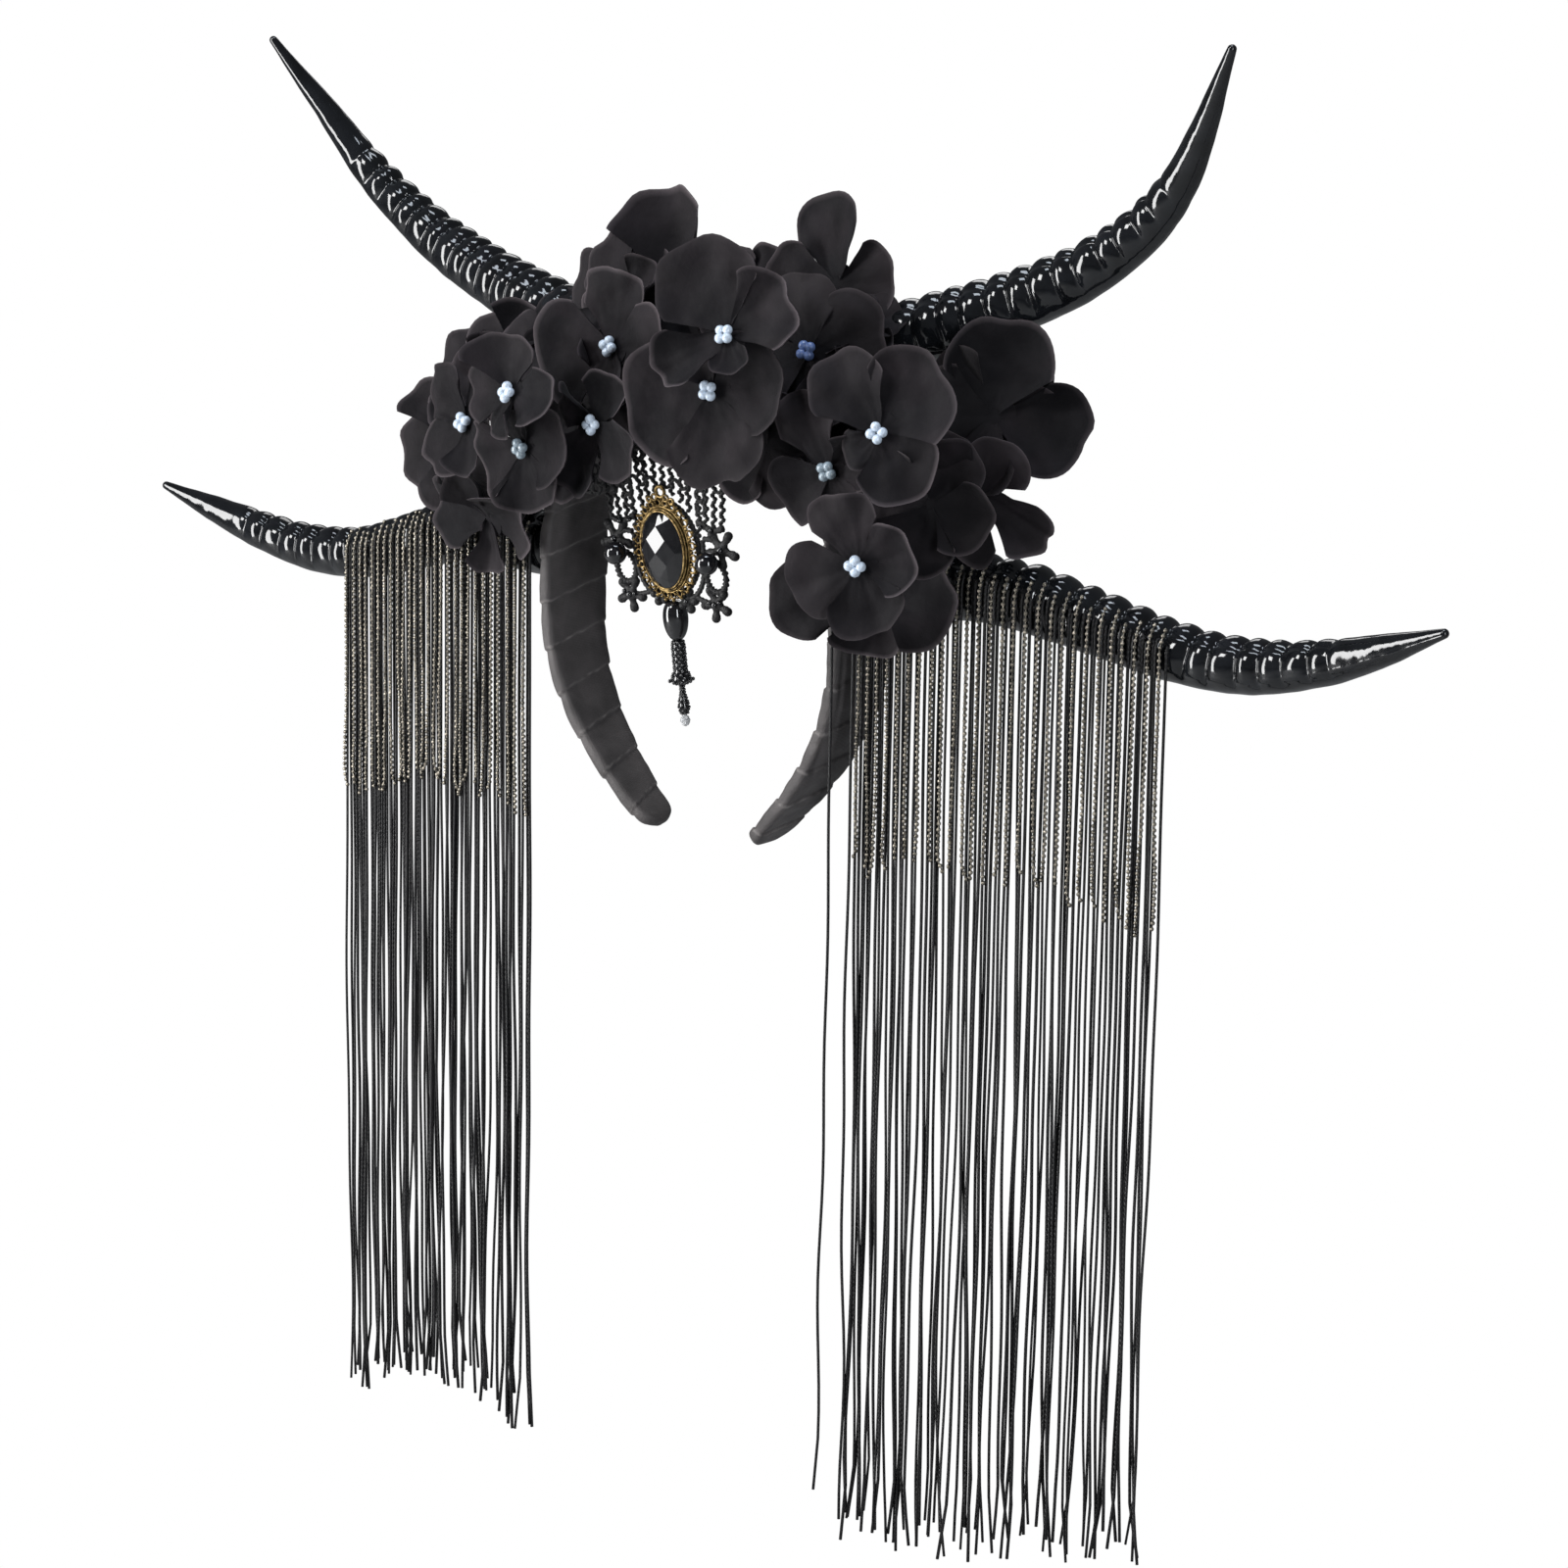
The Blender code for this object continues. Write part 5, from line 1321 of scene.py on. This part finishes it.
def make_world():
    """White behind the object, and a dimmer, cooler room for what the surfaces mirror."""
    world = bpy.data.worlds.new("studio")
    bpy.context.scene.world = world
    world.use_nodes = True
    nodes, links = world.node_tree.nodes, world.node_tree.links
    nodes.clear()
    output = nodes.new("ShaderNodeOutputWorld")
    lights = []
    for colour, strength in ((ROOM_COLOUR, ROOM_STRENGTH), (WHITE, 1.0)):
        light = nodes.new("ShaderNodeBackground")
        light.inputs["Color"].default_value = (*colour, 1.0)
        light.inputs["Strength"].default_value = strength
        lights.append(light.outputs["Background"])
    links.new(camera_sees(nodes, links, *lights), output.inputs["Surface"])


def make_studio():
    make_camera()
    make_world()
    make_floor()
    bpy.context.scene.view_settings.view_transform = "Standard"
    for light in LIGHTS:
        make_light(*light)


def main():
    horn, ribbon = horn_material(), ribbon_material()
    for word, side, seed in (("left", -1, 3.0), ("right", 1, 11.0)):
        for level, base, spread, table, taper, radius, ribs_end, added in HORNS:
            route = horn_route(base, spread, table, side)
            make_horn(f"horn_{level}_{word}", route, radius, taper, ribs_end, horn, seed + added,
                      has_seam=level == "lower")
    make_band(ribbon)
    thread, chain = thread_material(), chain_material()
    for word, side, ends in (("left", -1, THREAD_ENDS_LEFT), ("right", 1, THREAD_ENDS_RIGHT)):
        rng = random.Random(40 + side)
        make_threads(f"threads_{word}", side, f"thread_fringe_{word}", ends, thread, rng)
        make_chains(f"ball_chains_{word}", side, f"chain_fringe_{word}", chain, rng)
    lace = lace_material()
    glass = polished_material("black_glass", (0.006, 0.006, 0.007), 0.07, 2 * MM, Coat_Weight=0.5)
    crystal = polished_material("clear_crystal", (0.82, 0.84, 0.86), 0.05, 1 * MM, Transmission_Weight=0.6)
    make_lace(lace)
    make_lace_beads(glass)
    make_medallion(brass_material())
    make_stone(polished_material("black_stone", (0.008, 0.008, 0.009), 0.04, 3 * MM, IOR=1.55))
    make_side_beads(glass)
    make_drop(glass, crystal)
    petal = petal_material()
    for seed, row in enumerate(FLOWERS):
        make_flower(row, seed, petal)
    make_filler(petal)
    make_pearls({kind: polished_material(name, colour, 0.2, 1 * MM, Coat_Weight=0.5)
                 for kind, name, colour in PEARLS})
    make_studio()


main()
